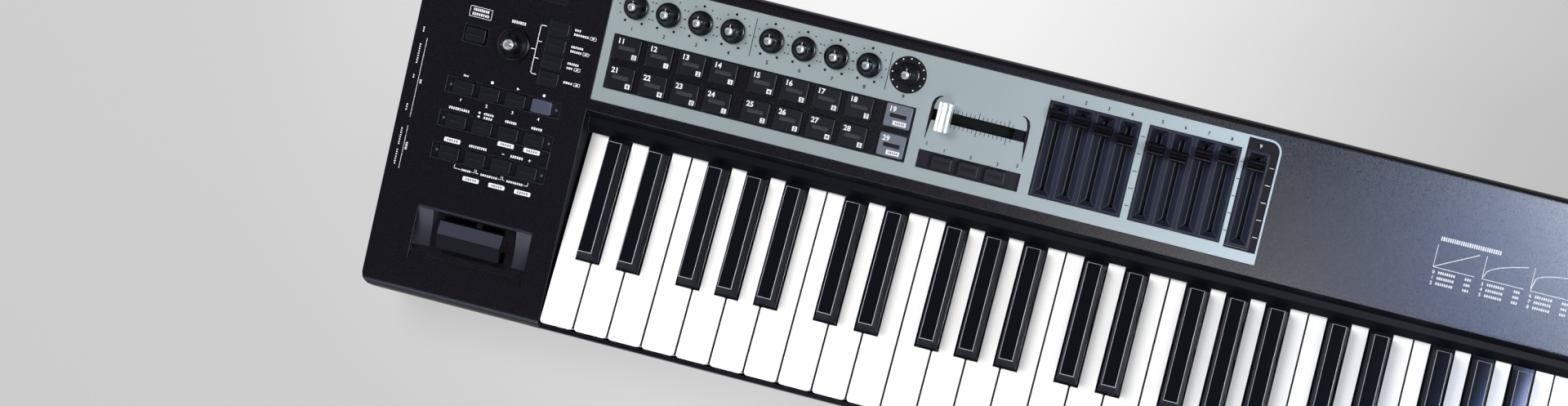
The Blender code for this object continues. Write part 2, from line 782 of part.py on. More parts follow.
def make_key_frame():
    """The chassis under the keys, with the rail that the hinges sit on and the front stop."""
    low, high = frame_base, frame_base + FRAME_THICKNESS
    margin = 0.0004
    left, right = keys_left + margin, keys_right - margin
    frame = box(
        "key_frame", (left, keys_front + 0.001, low), (right, hinge_y + 0.008, high), frame_plastic
    )
    rail_top = spine_low(0) - SEAT_GAP
    rail = box(
        "hinge_rail",
        (left, hinge_y - SPINE_DEPTH / 2, high - 0.001),
        (right, hinge_y + 0.006, rail_top),
    )
    stop_top = KEY_TOP - NATURAL_HEIGHT - KEY_TRAVEL - 0.0006
    stop = box(
        "front_stop", (left, keys_front + 0.002, high - 0.001), (right, keys_front + 0.008, stop_top)
    )
    apply_to(frame, "UNION", [rail, stop])


def make_contacts():
    """The contact board on the chassis, and the rubber strip of switch domes on that."""
    left, right = keys_left + 0.002, keys_right - 0.002
    start = keys_front + CONTACT_BACK
    low = frame_base + FRAME_THICKNESS + SEAT_GAP
    high = low + BOARD_THICKNESS
    box("contact_board", (left, start, low), (right, start + CONTACT_DEPTH, high), board_dark)
    base = high + SEAT_GAP
    fall = (HINGE_BACK - CONTACT_BACK) * math.sin(key_swing())
    crest = KEY_TOP - NATURAL_HEIGHT - fall - SLIDE_GAP
    inner = start + 0.004
    outline = [
        (inner, base),
        (inner + 0.018, base),
        (inner + 0.018, base + 0.002),
        (inner + 0.012, crest),
        (inner + 0.006, crest),
        (inner, base + 0.002),
    ]
    prism("contact_strip", outline, left + 0.001, right - 0.001, "X", contact_rubber)


def key_swing():
    return math.asin(KEY_TRAVEL / HINGE_BACK)


def spine_low(level):
    """The spines of the three combs lie on one another: level 0 is the lowest, 2 the sharps'."""
    sharp_low = KEY_TOP - SHARP_SPINE_DROP - SPINE_HEIGHT
    return sharp_low - (2 - level) * SPINE_STEP


def sharp_centre(octave, boundary, offset):
    return keys_left + (7 * octave + boundary) * NATURAL_PITCH + offset


def natural_sides(octave, degree):
    """A natural's front left and right sides, and those beside its sharps."""
    left = keys_left + (7 * octave + degree) * NATURAL_PITCH + NATURAL_GAP / 2
    right = left + NATURAL_PITCH - NATURAL_GAP
    rear_left, rear_right = left, right
    if octave < OCTAVES:
        for boundary, offset in SHARP_PLACES:
            centre = sharp_centre(octave, boundary, offset)
            if boundary == degree:
                rear_left = centre + SHARP_SLOT / 2
            if boundary == degree + 1:
                rear_right = centre - SHARP_SLOT / 2
    return left, right, rear_left, rear_right


def natural_outline(octave, degree, inset=0.0):
    left, right, rear_left, rear_right = natural_sides(octave, degree)
    left, rear_left = left + inset, rear_left + inset
    right, rear_right = right - inset, rear_right - inset
    front = keys_front + inset
    back = keys_front + NATURAL_LENGTH - inset
    step = keys_front + SHARP_FRONT - SHARP_GAP - inset
    corner = max(NATURAL_CORNER - inset, 0.0005)
    corners = [(left, front), (right, front)]
    radii = [corner, corner]
    if rear_right < right:
        corners += [(right, step), (rear_right, step)]
        radii += [0.0008, 0]
    corners += [(rear_right, back), (rear_left, back)]
    radii += [0, 0]
    if rear_left > left:
        corners += [(rear_left, step), (left, step)]
        radii += [0, 0.0008]
    return rounded(corners, radii, 3)


def arm(name, left, right, level, front):
    """The flat arm from a key to its comb's spine."""
    low = spine_low(level)
    return box(
        name,
        (left + ARM_INSET, front, low),
        (right - ARM_INSET, hinge_y, low + SPINE_HEIGHT),
    )


def make_comb(name, level, left, right, finish):
    """The spine of a comb of keys, with its origin on the hinge's axis."""
    low = spine_low(level)
    return box(
        name,
        (left, hinge_y - SPINE_DEPTH / 2, low),
        (right, hinge_y + SPINE_DEPTH / 2, low + SPINE_HEIGHT),
        finish,
        None,
        ((left + right) / 2, hinge_y, low + SPINE_HEIGHT / 2),
    )


def make_natural_comb(name, level, octave, degrees):
    sides = [natural_sides(octave, degree) for degree in degrees]
    comb = make_comb(name, level, sides[0][2], sides[-1][3], natural_plastic)
    keys, hollows = [], []
    for degree, (_, _, rear_left, rear_right) in zip(degrees, sides):
        key = f"{name}_{degree}"
        low = KEY_TOP - NATURAL_HEIGHT
        keys.append(prism(key, natural_outline(octave, degree), low, KEY_TOP))
        inner = natural_outline(octave, degree, KEY_WALL)
        hollows.append(prism(key + "_hollow", inner, low - 0.004, KEY_TOP - KEY_WALL))
        back = keys_front + NATURAL_LENGTH - KEY_WALL / 2
        keys.append(arm(key + "_arm", rear_left, rear_right, level, back))
    apply_to(comb, "UNION", keys[0::2])
    apply_to(comb, "DIFFERENCE", hollows)
    apply_to(comb, "UNION", keys[1::2])


def make_sharp_comb(octave):
    name = f"sharp_keys_{octave + 1}"
    half = SHARP_BASE / 2
    centres = [sharp_centre(octave, *place_of) for place_of in SHARP_PLACES]
    comb = make_comb(name, 2, centres[0] - half, centres[-1] + half, sharp_plastic)
    keys, hollows = [], []
    front = keys_front + SHARP_FRONT
    rear = keys_front + SHARP_REAR
    foot = KEY_TOP - SHARP_SPINE_DROP - SPINE_HEIGHT
    for number, centre in enumerate(centres):
        key = f"{name}_{number}"
        low = (centre - half, front, KEY_TOP + SHARP_RISE)
        high = (centre + half, rear, KEY_TOP)
        keys.append(sharp_top(key, low, high))
        neck_back = keys_front + NATURAL_LENGTH
        neck_top = KEY_TOP + LIP_BOTTOM / 2
        keys.append(
            box(key + "_neck", (centre - half, front, foot), (centre + half, neck_back, neck_top))
        )
        keys.append(arm(key + "_arm", centre - half, centre + half, 2, neck_back - 0.001))
        inner = SHARP_TOP / 2 - KEY_WALL
        hollows.append(
            box(
                key + "_hollow",
                (centre - inner, front + SHARP_SLOPE + KEY_WALL, foot - 0.004),
                (centre + inner, rear - KEY_WALL, KEY_TOP + SHARP_RISE - 2 * KEY_WALL),
            )
        )
    apply_to(comb, "UNION", keys)
    apply_to(comb, "DIFFERENCE", hollows)


def sharp_top(name, low, high):
    """The raised part of a sharp: sloped sides and front, a narrow flat top."""
    centre = (low[0] + high[0]) / 2
    bm = bmesh.new()
    bmesh.ops.create_cube(bm, size=1.0)
    for vert in bm.verts:
        raised = vert.co.z > 0
        half = (SHARP_TOP if raised else SHARP_BASE) / 2
        x = centre + (half if vert.co.x > 0 else -half)
        y = high[1] if vert.co.y > 0 else low[1] + (SHARP_SLOPE if raised else 0)
        vert.co = (x, y, low[2] if raised else high[2])
    mesh = bpy.data.meshes.new(name)
    bm.to_mesh(mesh)
    bm.free()
    return place(name, mesh, None)


def make_keys():
    for octave in range(OCTAVES):
        top_key = (7,) if octave == OCTAVES - 1 else ()
        outer = (0, 2, 4, 6) + top_key
        make_natural_comb(f"natural_keys_outer_{octave + 1}", 0, octave, outer)
        make_natural_comb(f"natural_keys_inner_{octave + 1}", 1, octave, (1, 3, 5))
        make_sharp_comb(octave)


def knob_profile(radius, height, top):
    """From the crown down a hollow cone to the skirt, then in to the shaft and down it."""
    gap = SLIDE_GAP
    return [
        (0, height),
        (top * 0.75, height - 0.0006),
        (top, height - 0.0022),
        (top * 1.15, height * 0.55),
        (radius * 0.82, height * 0.30),
        (radius, height * 0.14),
        (radius, gap),
        (SHAFT_RADIUS, gap),
        (SHAFT_RADIUS, -SHAFT_DEPTH),
        (0, -SHAFT_DEPTH),
    ]


def make_knobs():
    profile = knob_profile(KNOB_RADIUS, KNOB_HEIGHT, KNOB_TOP)
    for number in range(9):
        origin = (control_x(number), KNOB_LINE, 0)
        turned(f"knob_{number + 1}", profile, knob_plastic, panel, origin, 18)
    profile = knob_profile(DIAL_RADIUS, KNOB_HEIGHT, KNOB_TOP * 1.1)
    turned("value_dial", profile, knob_plastic, panel, (*DIAL_PLACE, 0), 22)


def make_faders():
    width, depth, height = FADER_CAP
    for number in range(9):
        x, slope = fader_x(number), FADER_REST[number]
        base = -0.0004
        outline = [
            (x - FADER_STEM / 2, -FADER_REACH),
            (x + FADER_STEM / 2, -FADER_REACH),
            (x + FADER_STEM / 2, base - 0.0036),
            (x + width * 0.30, base),
            (x + width / 2, base + 0.002),
            (x + width / 2, base + height * 0.8),
            (x + width / 2 - 0.0015, base + height),
            (x - width / 2 + 0.0015, base + height),
            (x - width / 2, base + height * 0.8),
            (x - width / 2, base + 0.002),
            (x - width * 0.30, base),
            (x - FADER_STEM / 2, base - 0.0036),
        ]
        prism(
            f"fader_{number + 1}", outline, slope - depth / 2, slope + depth / 2, "Y",
            knob_plastic, panel, (x, slope, 0),
        )
    width, depth, height = CROSS_CAP
    low, high = CROSS_LINE - depth / 2, CROSS_LINE + depth / 2
    rest = CROSS_LOW
    base = SLIDE_GAP
    cap = box(
        "crossfader",
        (rest - width / 2, low, base),
        (rest + width / 2, high, base + height),
        white_plastic,
        panel,
        (rest, CROSS_LINE, 0),
    )
    stem = panel_box(
        "crossfader_stem", (rest, CROSS_LINE), (FADER_STEM, CROSS_CAP[1] / 2.6), -FADER_REACH, 0.002
    )
    apply_to(cap, "UNION", [stem])


def make_strip(name, places, base_size, base_centre, size=BUTTON_SIZE, rise=BUTTON_RISE):
    """A moulded strip: its base lies under the panel and its buttons stand up through it."""
    top = -(CASE_WALL + SEAT_GAP)
    origin = (*base_centre, top)
    strip = panel_box(
        name, base_centre, base_size, top - BUTTON_BASE, top, button_rubber, origin
    )
    tops = [
        panel_box(f"{name}_{i}", where, size, top - BUTTON_BASE / 2, rise)
        for i, where in enumerate(places)
    ]
    apply_to(strip, "UNION", tops)


def row_places(centre, slope, count):
    start = centre - (count - 1) * BUTTON_PITCH / 2
    return [(start + i * BUTTON_PITCH, slope) for i in range(count)]


def make_buttons():
    names = ("transport_buttons", "layer_buttons", "octave_buttons")
    for name, slope in zip(names, ROW_LINES):
        base = grown(ROW_RECESS, BUTTON_MARGIN)
        make_strip(name, row_places(ROW_CENTRE, slope, 4), base, (ROW_CENTRE, slope))
    places = [(FUNCTION_LEFT, slope) for slope in FUNCTION_LINES]
    middle = (FUNCTION_LEFT, (FUNCTION_LINES[0] + FUNCTION_LINES[-1]) / 2)
    tall = FUNCTION_LINES[0] - FUNCTION_LINES[-1]
    base = grown((BUTTON_SIZE[0], BUTTON_SIZE[1] + tall), BUTTON_MARGIN)
    make_strip("function_buttons", places, base, middle)
    make_strip(
        "mapping_button", [MAPPING_PLACE], grown(BUTTON_SIZE, 2 * BUTTON_MARGIN), MAPPING_PLACE
    )
    make_strip(
        "assign_buttons",
        row_places(ASSIGN_CENTRE[0], ASSIGN_CENTRE[1], 3),
        grown(ASSIGN_RECESS, BUTTON_MARGIN),
        ASSIGN_CENTRE,
    )
    for name, first, count in (("left", 0, 4), ("middle", 4, 4), ("right", 8, 1)):
        columns = [control_x(first + i) for i in range(count)]
        places = [(x, slope) for x in columns for slope in PAD_LINES]
        middle = ((columns[0] + columns[-1]) / 2, sum(PAD_LINES) / 2)
        span = (
            columns[-1] - columns[0] + PAD_SIZE[0],
            PAD_LINES[0] - PAD_LINES[1] + PAD_SIZE[1],
        )
        make_strip(
            f"pad_mat_{name}", places, grown(span, PAD_MARGIN), middle, PAD_SIZE, PAD_RISE
        )


def make_display():
    size = DISPLAY_SIZE
    high = -SEAT_GAP
    panel_box("display_window", DISPLAY_PLACE, size, high - DISPLAY_THICKNESS, high, screen_glass)


def make_panel_board():
    """The board under the panel, with the pots, slide pots, switches and display it carries."""
    low = -(BOARD_DROP + BOARD_THICKNESS)
    high = -BOARD_DROP
    near = ROW_LINES[2] - 0.018
    far = PLATE_HIGH - 0.001
    left, right = -0.1005, PLATE_WIDTH + 0.002
    shelf = PLATE_LOW + 0.006
    outline = [
        (left, near), (-0.0085, near), (-0.0085, shelf), (right, shelf), (right, far), (left, far)
    ]
    board = prism("panel_board", outline, low, high, "Z", board_dark, panel)
    sunk = high - 0.0008
    pot_top = -(SHAFT_DEPTH + SEAT_GAP)
    tools = []
    knobs = [(control_x(number), KNOB_LINE) for number in range(9)] + [DIAL_PLACE]
    for number, centre in enumerate(knobs):
        tools.append(panel_box(f"pot_{number}", centre, (0.0095, 0.0095), sunk, pot_top))
    slide_top = -(FADER_REACH + SEAT_GAP)
    for number in range(9):
        centre = (fader_x(number), (FADER_LOW + FADER_HIGH) / 2)
        size = (0.0075, FADER_HIGH - FADER_LOW + 0.014)
        tools.append(panel_box(f"slide_pot_{number}", centre, size, sunk, slide_top))
    centre = (cross_middle(), CROSS_LINE)
    size = (CROSS_HIGH - CROSS_LOW + 0.014, 0.0075)
    tools.append(panel_box("cross_pot", centre, size, sunk, slide_top))
    switch_top = -(CASE_WALL + SEAT_GAP + BUTTON_BASE + 0.0014)
    for number, slope in enumerate(ROW_LINES):
        size = (4 * BUTTON_PITCH, 0.006)
        tools.append(panel_box(f"row_switch_{number}", (ROW_CENTRE, slope), size, sunk, switch_top))
    middle = (FUNCTION_LEFT, (FUNCTION_LINES[0] + FUNCTION_LINES[-1]) / 2)
    tall = FUNCTION_LINES[0] - FUNCTION_LINES[-1] + 0.006
    tools.append(panel_box("function_switch", middle, (0.006, tall), sunk, switch_top))
    tools.append(panel_box("mapping_switch", MAPPING_PLACE, (0.006, 0.006), sunk, switch_top))
    assign_size = (3 * BUTTON_PITCH, 0.005)
    tools.append(panel_box("assign_switch", ASSIGN_CENTRE, assign_size, sunk, switch_top))
    for line, slope in enumerate(PAD_LINES):
        middle = ((control_x(0) + control_x(8)) / 2, slope)
        size = (control_x(8) - control_x(0) + 0.006, 0.008)
        tools.append(panel_box(f"pad_sensor_{line}", middle, size, sunk, switch_top))
    module = grown(DISPLAY_SIZE, -0.001)
    module_top = -(DISPLAY_THICKNESS + 2 * SEAT_GAP)
    tools.append(panel_box("display_module", DISPLAY_PLACE, module, sunk, module_top))
    apply_to(board, "UNION", tools)


def make_jack_board():
    """The upright board behind the left side, with its socket housings and their bores."""
    face = SOCKET_FACE
    low = (case_left + SOCKET_DEPTH, keys_front + PEDAL_BACKS[1] - 0.010)
    high = (low[0] + BOARD_THICKNESS, keys_front + DC_BACK + 0.008)
    half = board_height / 2
    board = box(
        "jack_board",
        (low[0], low[1], SOCKET_HEIGHT - half),
        (high[0], high[1], SOCKET_HEIGHT + half),
        board_dark,
    )
    end = SOCKET_DEPTH + BOARD_THICKNESS / 2
    inside = CASE_WALL + SEAT_GAP
    power_back = SWITCH_INSET + POWER_SIZE[0] + POWER_SIZE[1] / 2 * math.sin(POWER_SWING) + SEAT_GAP
    merge_back = SWITCH_INSET + MERGE_SIZE[0] + SEAT_GAP
    bodies = [
        side_box("dc_body", DC_BACK, dc_housing, face, end),
        side_box("usb_body", USB_BACK, usb_housing, face, end),
        side_box("power_body", POWER_BACK, (0.016, 0.011), power_back, end),
        side_box("merge_body", MERGE_BACK, (0.009, 0.006), merge_back, end),
    ]
    bores = [
        side_rod("dc_bore", DC_BACK, DC_BORE, -0.002, face + 0.0095, 16),
        side_box("usb_bore", USB_BACK, USB_HOLE, -0.002, face + 0.0095),
    ]
    for number, back in enumerate(MIDI_BACKS):
        bodies.append(side_box(f"midi_body_{number}", back, (0.0200, 0.0205), inside, end))
        bodies.append(side_rod(f"midi_nose_{number}", back, MIDI_NOSE, face, inside + 0.001))
        bores.append(side_rod(f"midi_bore_{number}", back, MIDI_BORE, -0.002, face + MIDI_RECESS))
    for number, back in enumerate(PEDAL_BACKS):
        bodies.append(side_box(f"pedal_body_{number}", back, (0.0145, 0.0150), inside, end))
        bodies.append(side_rod(f"pedal_nose_{number}", back, PEDAL_NOSE, face, inside + 0.001))
        reach = face + PEDAL_LENGTH
        bores.append(side_rod(f"pedal_bore_{number}", back, PEDAL_BORE, -0.002, reach, 16))
    apply_to(board, "UNION", bodies)
    apply_to(board, "DIFFERENCE", bores)


def make_switches():
    reach, wide, tall = POWER_SIZE
    x = case_left + CASE_WALL / 2
    y = keys_front + POWER_BACK
    side_box(
        "power_switch", POWER_BACK, (wide, tall), SWITCH_INSET, SWITCH_INSET + reach, knob_plastic,
        (x, y, SOCKET_HEIGHT),
    )
    reach, wide, tall = MERGE_SIZE
    y = keys_front + MERGE_BACK
    side_box(
        "merge_switch", MERGE_BACK, (wide, tall), SWITCH_INSET, SWITCH_INSET + reach, knob_plastic,
        (x, y, SOCKET_HEIGHT),
    )


def make_bender():
    """The paddle, the cradle that it swings in and the housing that the cradle tips in."""
    pivot = (DISH_CENTRE, PADDLE_LOW + PADDLE_SIZE[1] / 2, -BENDER_DEPTH)
    x, s, n = pivot
    back = PADDLE_LOW + PADDLE_SIZE[1]
    outline = rounded(
        [
            (PADDLE_LOW, -PADDLE_UNDER),
            (back, -PADDLE_UNDER),
            (back, PADDLE_RISE * 0.45),
            (s + 0.0006, PADDLE_RISE),
            (PADDLE_LOW, PADDLE_RISE * 0.25),
        ],
        [0, 0, 0.001, 0.0015, 0.0006],
    )
    half = PADDLE_SIZE[0] / 2
    paddle = prism("bender_paddle", outline, x - half, x + half, "X", button_rubber, panel, pivot)
    stem = panel_box("stem", (x, s), (2 * STEM_HALF, 2 * STEM_HALF), n, 0)
    hub_half = CRADLE_HOLE[1] / 2 - SEAT_GAP
    hub = rod("hub", (x, s - hub_half, n), "Y", HUB_RADIUS, 2 * hub_half, None, panel)
    pin_half = CRADLE_SIZE[1] / 2
    pin = rod("pin", (x, s - pin_half, n), "Y", PIN_RADIUS, 2 * pin_half, None, panel)
    apply_to(paddle, "UNION", [stem, hub, pin])
    half_high = CRADLE_HEIGHT / 2
    cradle = panel_box(
        "bender_cradle", (x, s), CRADLE_SIZE, n - half_high, n + half_high, frame_plastic, pivot
    )
    inner = panel_box("cradle_hole", (x, s), CRADLE_HOLE, n - 0.02, n + 0.02)
    bore = rod(
        "cradle_bore", (x, s - 0.03, n), "Y", PIN_RADIUS + PIN_GAP, 0.06, None, panel
    )
    side = CRADLE_SIZE[0] / 2
    reach = LEG_SPREAD + LEG_WALL - side
    trunnions = [
        rod("trunnion_left", (x - side - reach, s, n), "X", PIN_RADIUS, reach + 0.001, None, panel),
        rod("trunnion_right", (x + side - 0.001, s, n), "X", PIN_RADIUS, reach + 0.001, None, panel),
    ]
    apply_to(cradle, "DIFFERENCE", [inner, bore])
    apply_to(cradle, "UNION", trunnions)
    make_bender_housing(pivot)


def make_bender_housing(pivot):
    """The lower part of the dish, under the case, and two legs that hold the cradle's trunnions."""
    x, s, n = pivot
    middle = (DISH_CENTRE, DISH_LOW + DISH_SIZE[1] / 2)
    low, high = -(DISH_DEPTH + DISH_WALL), -(CASE_WALL + SEAT_GAP)
    housing = panel_box(
        "bender_housing", middle, grown(DISH_SIZE, DISH_WALL), low, high, case_plastic
    )
    foot = n - PIN_RADIUS - LEG_WALL
    legs = [
        panel_box(
            f"leg_{side}",
            (x + side * (LEG_SPREAD + LEG_WALL / 2), s),
            (LEG_WALL, CRADLE_SIZE[1]),
            foot,
            low + DISH_WALL / 2,
        )
        for side in (-1, 1)
    ]
    hole_middle = (DISH_CENTRE, PADDLE_HOLE_LOW + PADDLE_HOLE[1] / 2)
    hole = panel_box("paddle_hole", hole_middle, PADDLE_HOLE, -0.02, -DISH_DEPTH / 2)
    half = LEG_SPREAD + 2 * LEG_WALL
    bearing = rod("bearing", (x - half, s, n), "X", PIN_RADIUS + PIN_GAP, 2 * half, None, panel)
    apply_to(housing, "UNION", legs)
    apply_to(housing, "DIFFERENCE", [dish("dish_cut"), hole, bearing])


make_top_case()
make_side_plate()
make_bottom_case()
make_feet()
make_plate()
make_key_frame()
make_contacts()
make_keys()
make_knobs()
make_faders()
make_buttons()
make_display()
make_panel_board()
make_jack_board()
make_switches()
make_bender()
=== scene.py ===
# %% [markdown]
# # A portable keyboard
# This lesson dresses a keyboard controller: a black case with a silver plate of knobs, pads and
# faders above four octaves of keys. Its solids are loaded first and stay where they are. Every
# cell then adds a finish or a piece, in metres, in the same space as the solids.

# %% Load the solids
import math

import bmesh
import bpy
from mathutils import Matrix, Vector


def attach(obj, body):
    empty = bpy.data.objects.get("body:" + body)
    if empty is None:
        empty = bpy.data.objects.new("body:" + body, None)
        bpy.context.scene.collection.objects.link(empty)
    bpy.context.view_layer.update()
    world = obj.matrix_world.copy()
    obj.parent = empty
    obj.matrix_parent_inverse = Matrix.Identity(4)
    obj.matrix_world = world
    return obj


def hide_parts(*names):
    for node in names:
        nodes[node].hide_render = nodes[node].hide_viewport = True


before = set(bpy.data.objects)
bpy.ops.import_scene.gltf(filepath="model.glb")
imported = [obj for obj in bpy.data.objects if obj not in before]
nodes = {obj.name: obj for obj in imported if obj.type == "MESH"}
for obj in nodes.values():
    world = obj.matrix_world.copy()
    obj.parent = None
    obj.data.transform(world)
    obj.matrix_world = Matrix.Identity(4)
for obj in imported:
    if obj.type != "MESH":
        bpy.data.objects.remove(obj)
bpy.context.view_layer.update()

# %% [markdown]
# ## Where things are
# The controls lie on a panel that tilts up towards the back. Its own space makes their places
# easy to write: x runs along the keys, the second number up the slope, and the third out of the
# panel. One matrix takes a point from the panel's space to the room's. Sizes are in millimetres
# there, because the real panel is laid out in them. Its front edge lies a little below the keys.

# %% The panel's space
MM = 0.001
KEYS_LEFT, KEYS_FRONT, KEY_TOP, PANEL_DROP = -288.9, -118.4, 61.2, 3
TILT = math.radians(9.1)
panel = (
    Matrix.Scale(MM, 4)
    @ Matrix.Translation((KEYS_LEFT, KEYS_FRONT, KEY_TOP - PANEL_DROP))
    @ Matrix.Rotation(TILT, 4, "X")
)
world_mm = Matrix.Scale(MM, 4)
FIRST_KNOB, KNOB_STEP, KNOB_GAP, KNOB_ROW = 16.5, 22.1, 4.4, 219
FIRST_FADER, FADER_STEP, FADER_GAPS = 304.4, 15.4, (0, 5.1, 9.0)
knob_x = [FIRST_KNOB + i * KNOB_STEP + (i // 4) * KNOB_GAP for i in range(9)]
fader_x = [FIRST_FADER + i * FADER_STEP + FADER_GAPS[i // 4] for i in range(9)]
fader_s = [216.8, 216.6, 214.5, 211.9, 211.2, 209.9, 214.7, 216.4, 216.3]
row_x = [-84.9, -66.9, -48.9, -30.9]
row_s = [139.7, 116.8, 95.0]
function_s = [193.2, 181.9, 170.6, 159.3]
print("knobs at", [round(x, 1) for x in knob_x])

# %% [markdown]
# ## The camera
# The photograph looks almost straight down from above the middle keys, turned a little, and shows
# the left two thirds of the keyboard. It is part of a wider picture, so the lens's centre is not
# in the middle of the frame, and a shift moves it.

# %% Camera
FRAME_WIDE, FRAME_HIGH = 1920, 497
focal, centre, eye_place = 2494.1, (1400, 150), (0.1433, -0.0237, 1.4063)
right = Vector((0.96906, 0.24495, -0.03024))
down = Vector((0.24047, -0.96466, -0.10771))
ahead = Vector((-0.05555, 0.09711, -0.99372))
eye = bpy.data.cameras.new("eye")
eye.sensor_width = 36
eye.lens = focal / FRAME_WIDE * eye.sensor_width
eye.shift_x = 0.5 - centre[0] / FRAME_WIDE
eye.shift_y = (centre[1] - FRAME_HIGH / 2) / FRAME_WIDE
camera = bpy.data.objects.new("camera", eye)
turn = Matrix((right, -down, -ahead)).transposed().to_4x4()
camera.matrix_world = Matrix.Translation(eye_place) @ turn
bpy.context.scene.collection.objects.link(camera)
bpy.context.scene.camera = camera
print("lens", round(eye.lens, 1), "mm")

# %% [markdown]
# ## Finishes
# Moulded plastic is never one flat colour. It has a fine grain that breaks up its gloss, and a
# slow drift of shade from the mould. One function makes such a finish: a fine noise drives the
# roughness and the relief, and a broad noise drives the colour.

# %% A finish with grain and drift
def add_node(tree, kind, **inputs):
    """Adds a node of the tree's own family and sets its inputs, with _ for a space."""
    made = tree.nodes.new(tree.bl_idname.removesuffix("Tree") + kind)
    for name, value in inputs.items():
        made.inputs[name.replace("_", " ")].default_value = value
    return made


def wire(tree, *pairs):
    """Joins outputs to inputs."""
    for source, target in pairs:
        tree.links.new(source, target)


DRIFT_SCALE, RELIEF_HIGH, GLOSSIEST = 18, 0.0002, 0.02


def finish(name, colour, rough, metallic=0.0, grain=900, relief=0.1, spread=0.05, drift=0.1,
           shine=0.5):
    made = bpy.data.materials.new(name)
    made.use_nodes = True
    tree = made.node_tree
    shader = tree.nodes["Principled BSDF"]
    shader.inputs["Metallic"].default_value = metallic
    shader.inputs["Specular IOR Level"].default_value = shine
    place = add_node(tree, "TexCoord").outputs["Object"]
    fine = add_node(tree, "TexNoise", Scale=grain, Detail=3)
    broad = add_node(tree, "TexNoise", Scale=DRIFT_SCALE)
    tint = add_node(tree, "Mix")
    tint.data_type = "RGBA"
    tint.inputs[6].default_value = (*[c * (1 - drift) for c in colour], 1)
    tint.inputs[7].default_value = (*[c * (1 + drift) for c in colour], 1)
    gloss = add_node(tree, "MapRange", From_Min=0.3, From_Max=0.7,
                     To_Min=max(rough - spread, GLOSSIEST), To_Max=rough + spread)
    wire(tree, (place, fine.inputs["Vector"]), (place, broad.inputs["Vector"]),
         (broad.outputs["Fac"], tint.inputs[0]), (tint.outputs[2], shader.inputs["Base Color"]),
         (fine.outputs["Fac"], gloss.inputs["Value"]),
         (gloss.outputs["Result"], shader.inputs["Roughness"]))
    if relief:
        bump = add_node(tree, "Bump", Strength=relief, Distance=RELIEF_HIGH)
        wire(tree, (fine.outputs["Fac"], bump.inputs["Height"]),
             (bump.outputs["Normal"], shader.inputs["Normal"]))
    return made


print("a finish has a grain in its gloss and a drift in its colour")

# %% Finishes of the case, the plate and the keys
case_satin = finish("case_satin", (0.0036, 0.0030, 0.0050), 0.29, grain=1500, relief=0.12,
                    spread=0.08)
case_edge = finish("case_edge", (0.042, 0.046, 0.060), 0.45, relief=0, spread=0.05, shine=0.15)
lip_matte = finish("lip_matte", (0.0018, 0.0021, 0.0042), 0.62, grain=1500, relief=0.1, shine=0.1)
trench_slate = finish("trench_slate", (0.011, 0.014, 0.027), 0.45, grain=1500, relief=0.1,
                      shine=0.15)
tray_matte = finish("tray_matte", (0.006, 0.006, 0.008), 0.6, relief=0.3)
dish_satin = finish("dish_satin", (0.008, 0.008, 0.012), 0.42, grain=1500, relief=0.1, shine=0.9)
plate_silver = finish("plate_silver", (0.315, 0.365, 0.37), 0.38, 0.45, grain=2400, relief=0.06,
                      drift=0.03)
ivory_white = finish("ivory_white", (0.87, 0.865, 0.85), 0.28, relief=0, spread=0.01, drift=0.01)
ivory_side = finish("ivory_side", (0.02, 0.02, 0.024), 0.6, relief=0.1, shine=0.1)
ivory_edge = finish("ivory_edge", (0.26, 0.26, 0.27), 0.4, relief=0, spread=0.02)
ebony_gloss = finish("ebony_gloss", (0.003, 0.004, 0.006), 0.10, relief=0, spread=0.01)
ebony_edge = finish("ebony_edge", (0.34, 0.36, 0.41), 0.3, relief=0, spread=0.02)
ebony_side = finish("ebony_side", (0.006, 0.008, 0.015), 0.5, relief=0, shine=0.04)
print(len(bpy.data.materials), "finishes of the case, the plate and the keys")

# %% Finishes of the controls
knob_black = finish("knob_black", (0.003, 0.003, 0.0045), 0.28, grain=1500, relief=0.05, shine=0.2)
crown_chrome = finish("crown_chrome", (0.74, 0.78, 0.82), 0.12, 0.8, grain=700, relief=0.3)
paddle_black = finish("paddle_black", (0.0020, 0.0018, 0.0026), 0.35, grain=1500, relief=0.05,
                      shine=0.12)
paddle_sheen = finish("paddle_sheen", (0.016, 0.018, 0.030), 0.42, grain=1500, relief=0.05)
rubber_dark = finish("rubber_dark", (0.0035, 0.0035, 0.0055), 0.45, grain=2000, relief=0.1,
                     shine=0.3)
rubber_sheen = finish("rubber_sheen", (0.022, 0.024, 0.030), 0.35, grain=2000, relief=0.4)
rubber_slate = finish("rubber_slate", (0.040, 0.047, 0.075), 0.42, grain=2000, relief=0.15)
pad_slate = finish("pad_slate", (0.095, 0.11, 0.135), 0.42, grain=2000, relief=0.15)
cap_white = finish("cap_white", (0.86, 0.87, 0.86), 0.35, grain=1500, relief=0.05, drift=0.03)
print(len(bpy.data.materials), "finishes with those of the controls")

# %% Inks, and finishes of small things
ink_white = finish("ink_white", (0.62, 0.63, 0.67), 0.5, grain=3000, relief=0, drift=0.05)
ink_grey = finish("ink_grey", (0.16, 0.16, 0.18), 0.5, grain=3000, relief=0, drift=0.05)
ink_black = finish("ink_black", (0.006, 0.006, 0.008), 0.6, grain=3000, relief=0, shine=0.1)
window_dark = finish("window_dark", (0.008, 0.009, 0.012), 0.08, grain=300, relief=0.01)
foot_rubber = finish("foot_rubber", (0.02, 0.02, 0.02), 0.75, grain=1200, relief=0.4)
moulded_grey = finish("moulded_grey", (0.10, 0.10, 0.11), 0.5, relief=0.2)
board_dark = finish("board_dark", (0.004, 0.006, 0.005), 0.5, grain=600, relief=0.1, shine=0.1)
silicone_grey = finish("silicone_grey", (0.25, 0.26, 0.27), 0.65, relief=0.1)
screw_steel = finish("screw_steel", (0.28, 0.28, 0.29), 0.35, 0.9, grain=2000, relief=0.1)
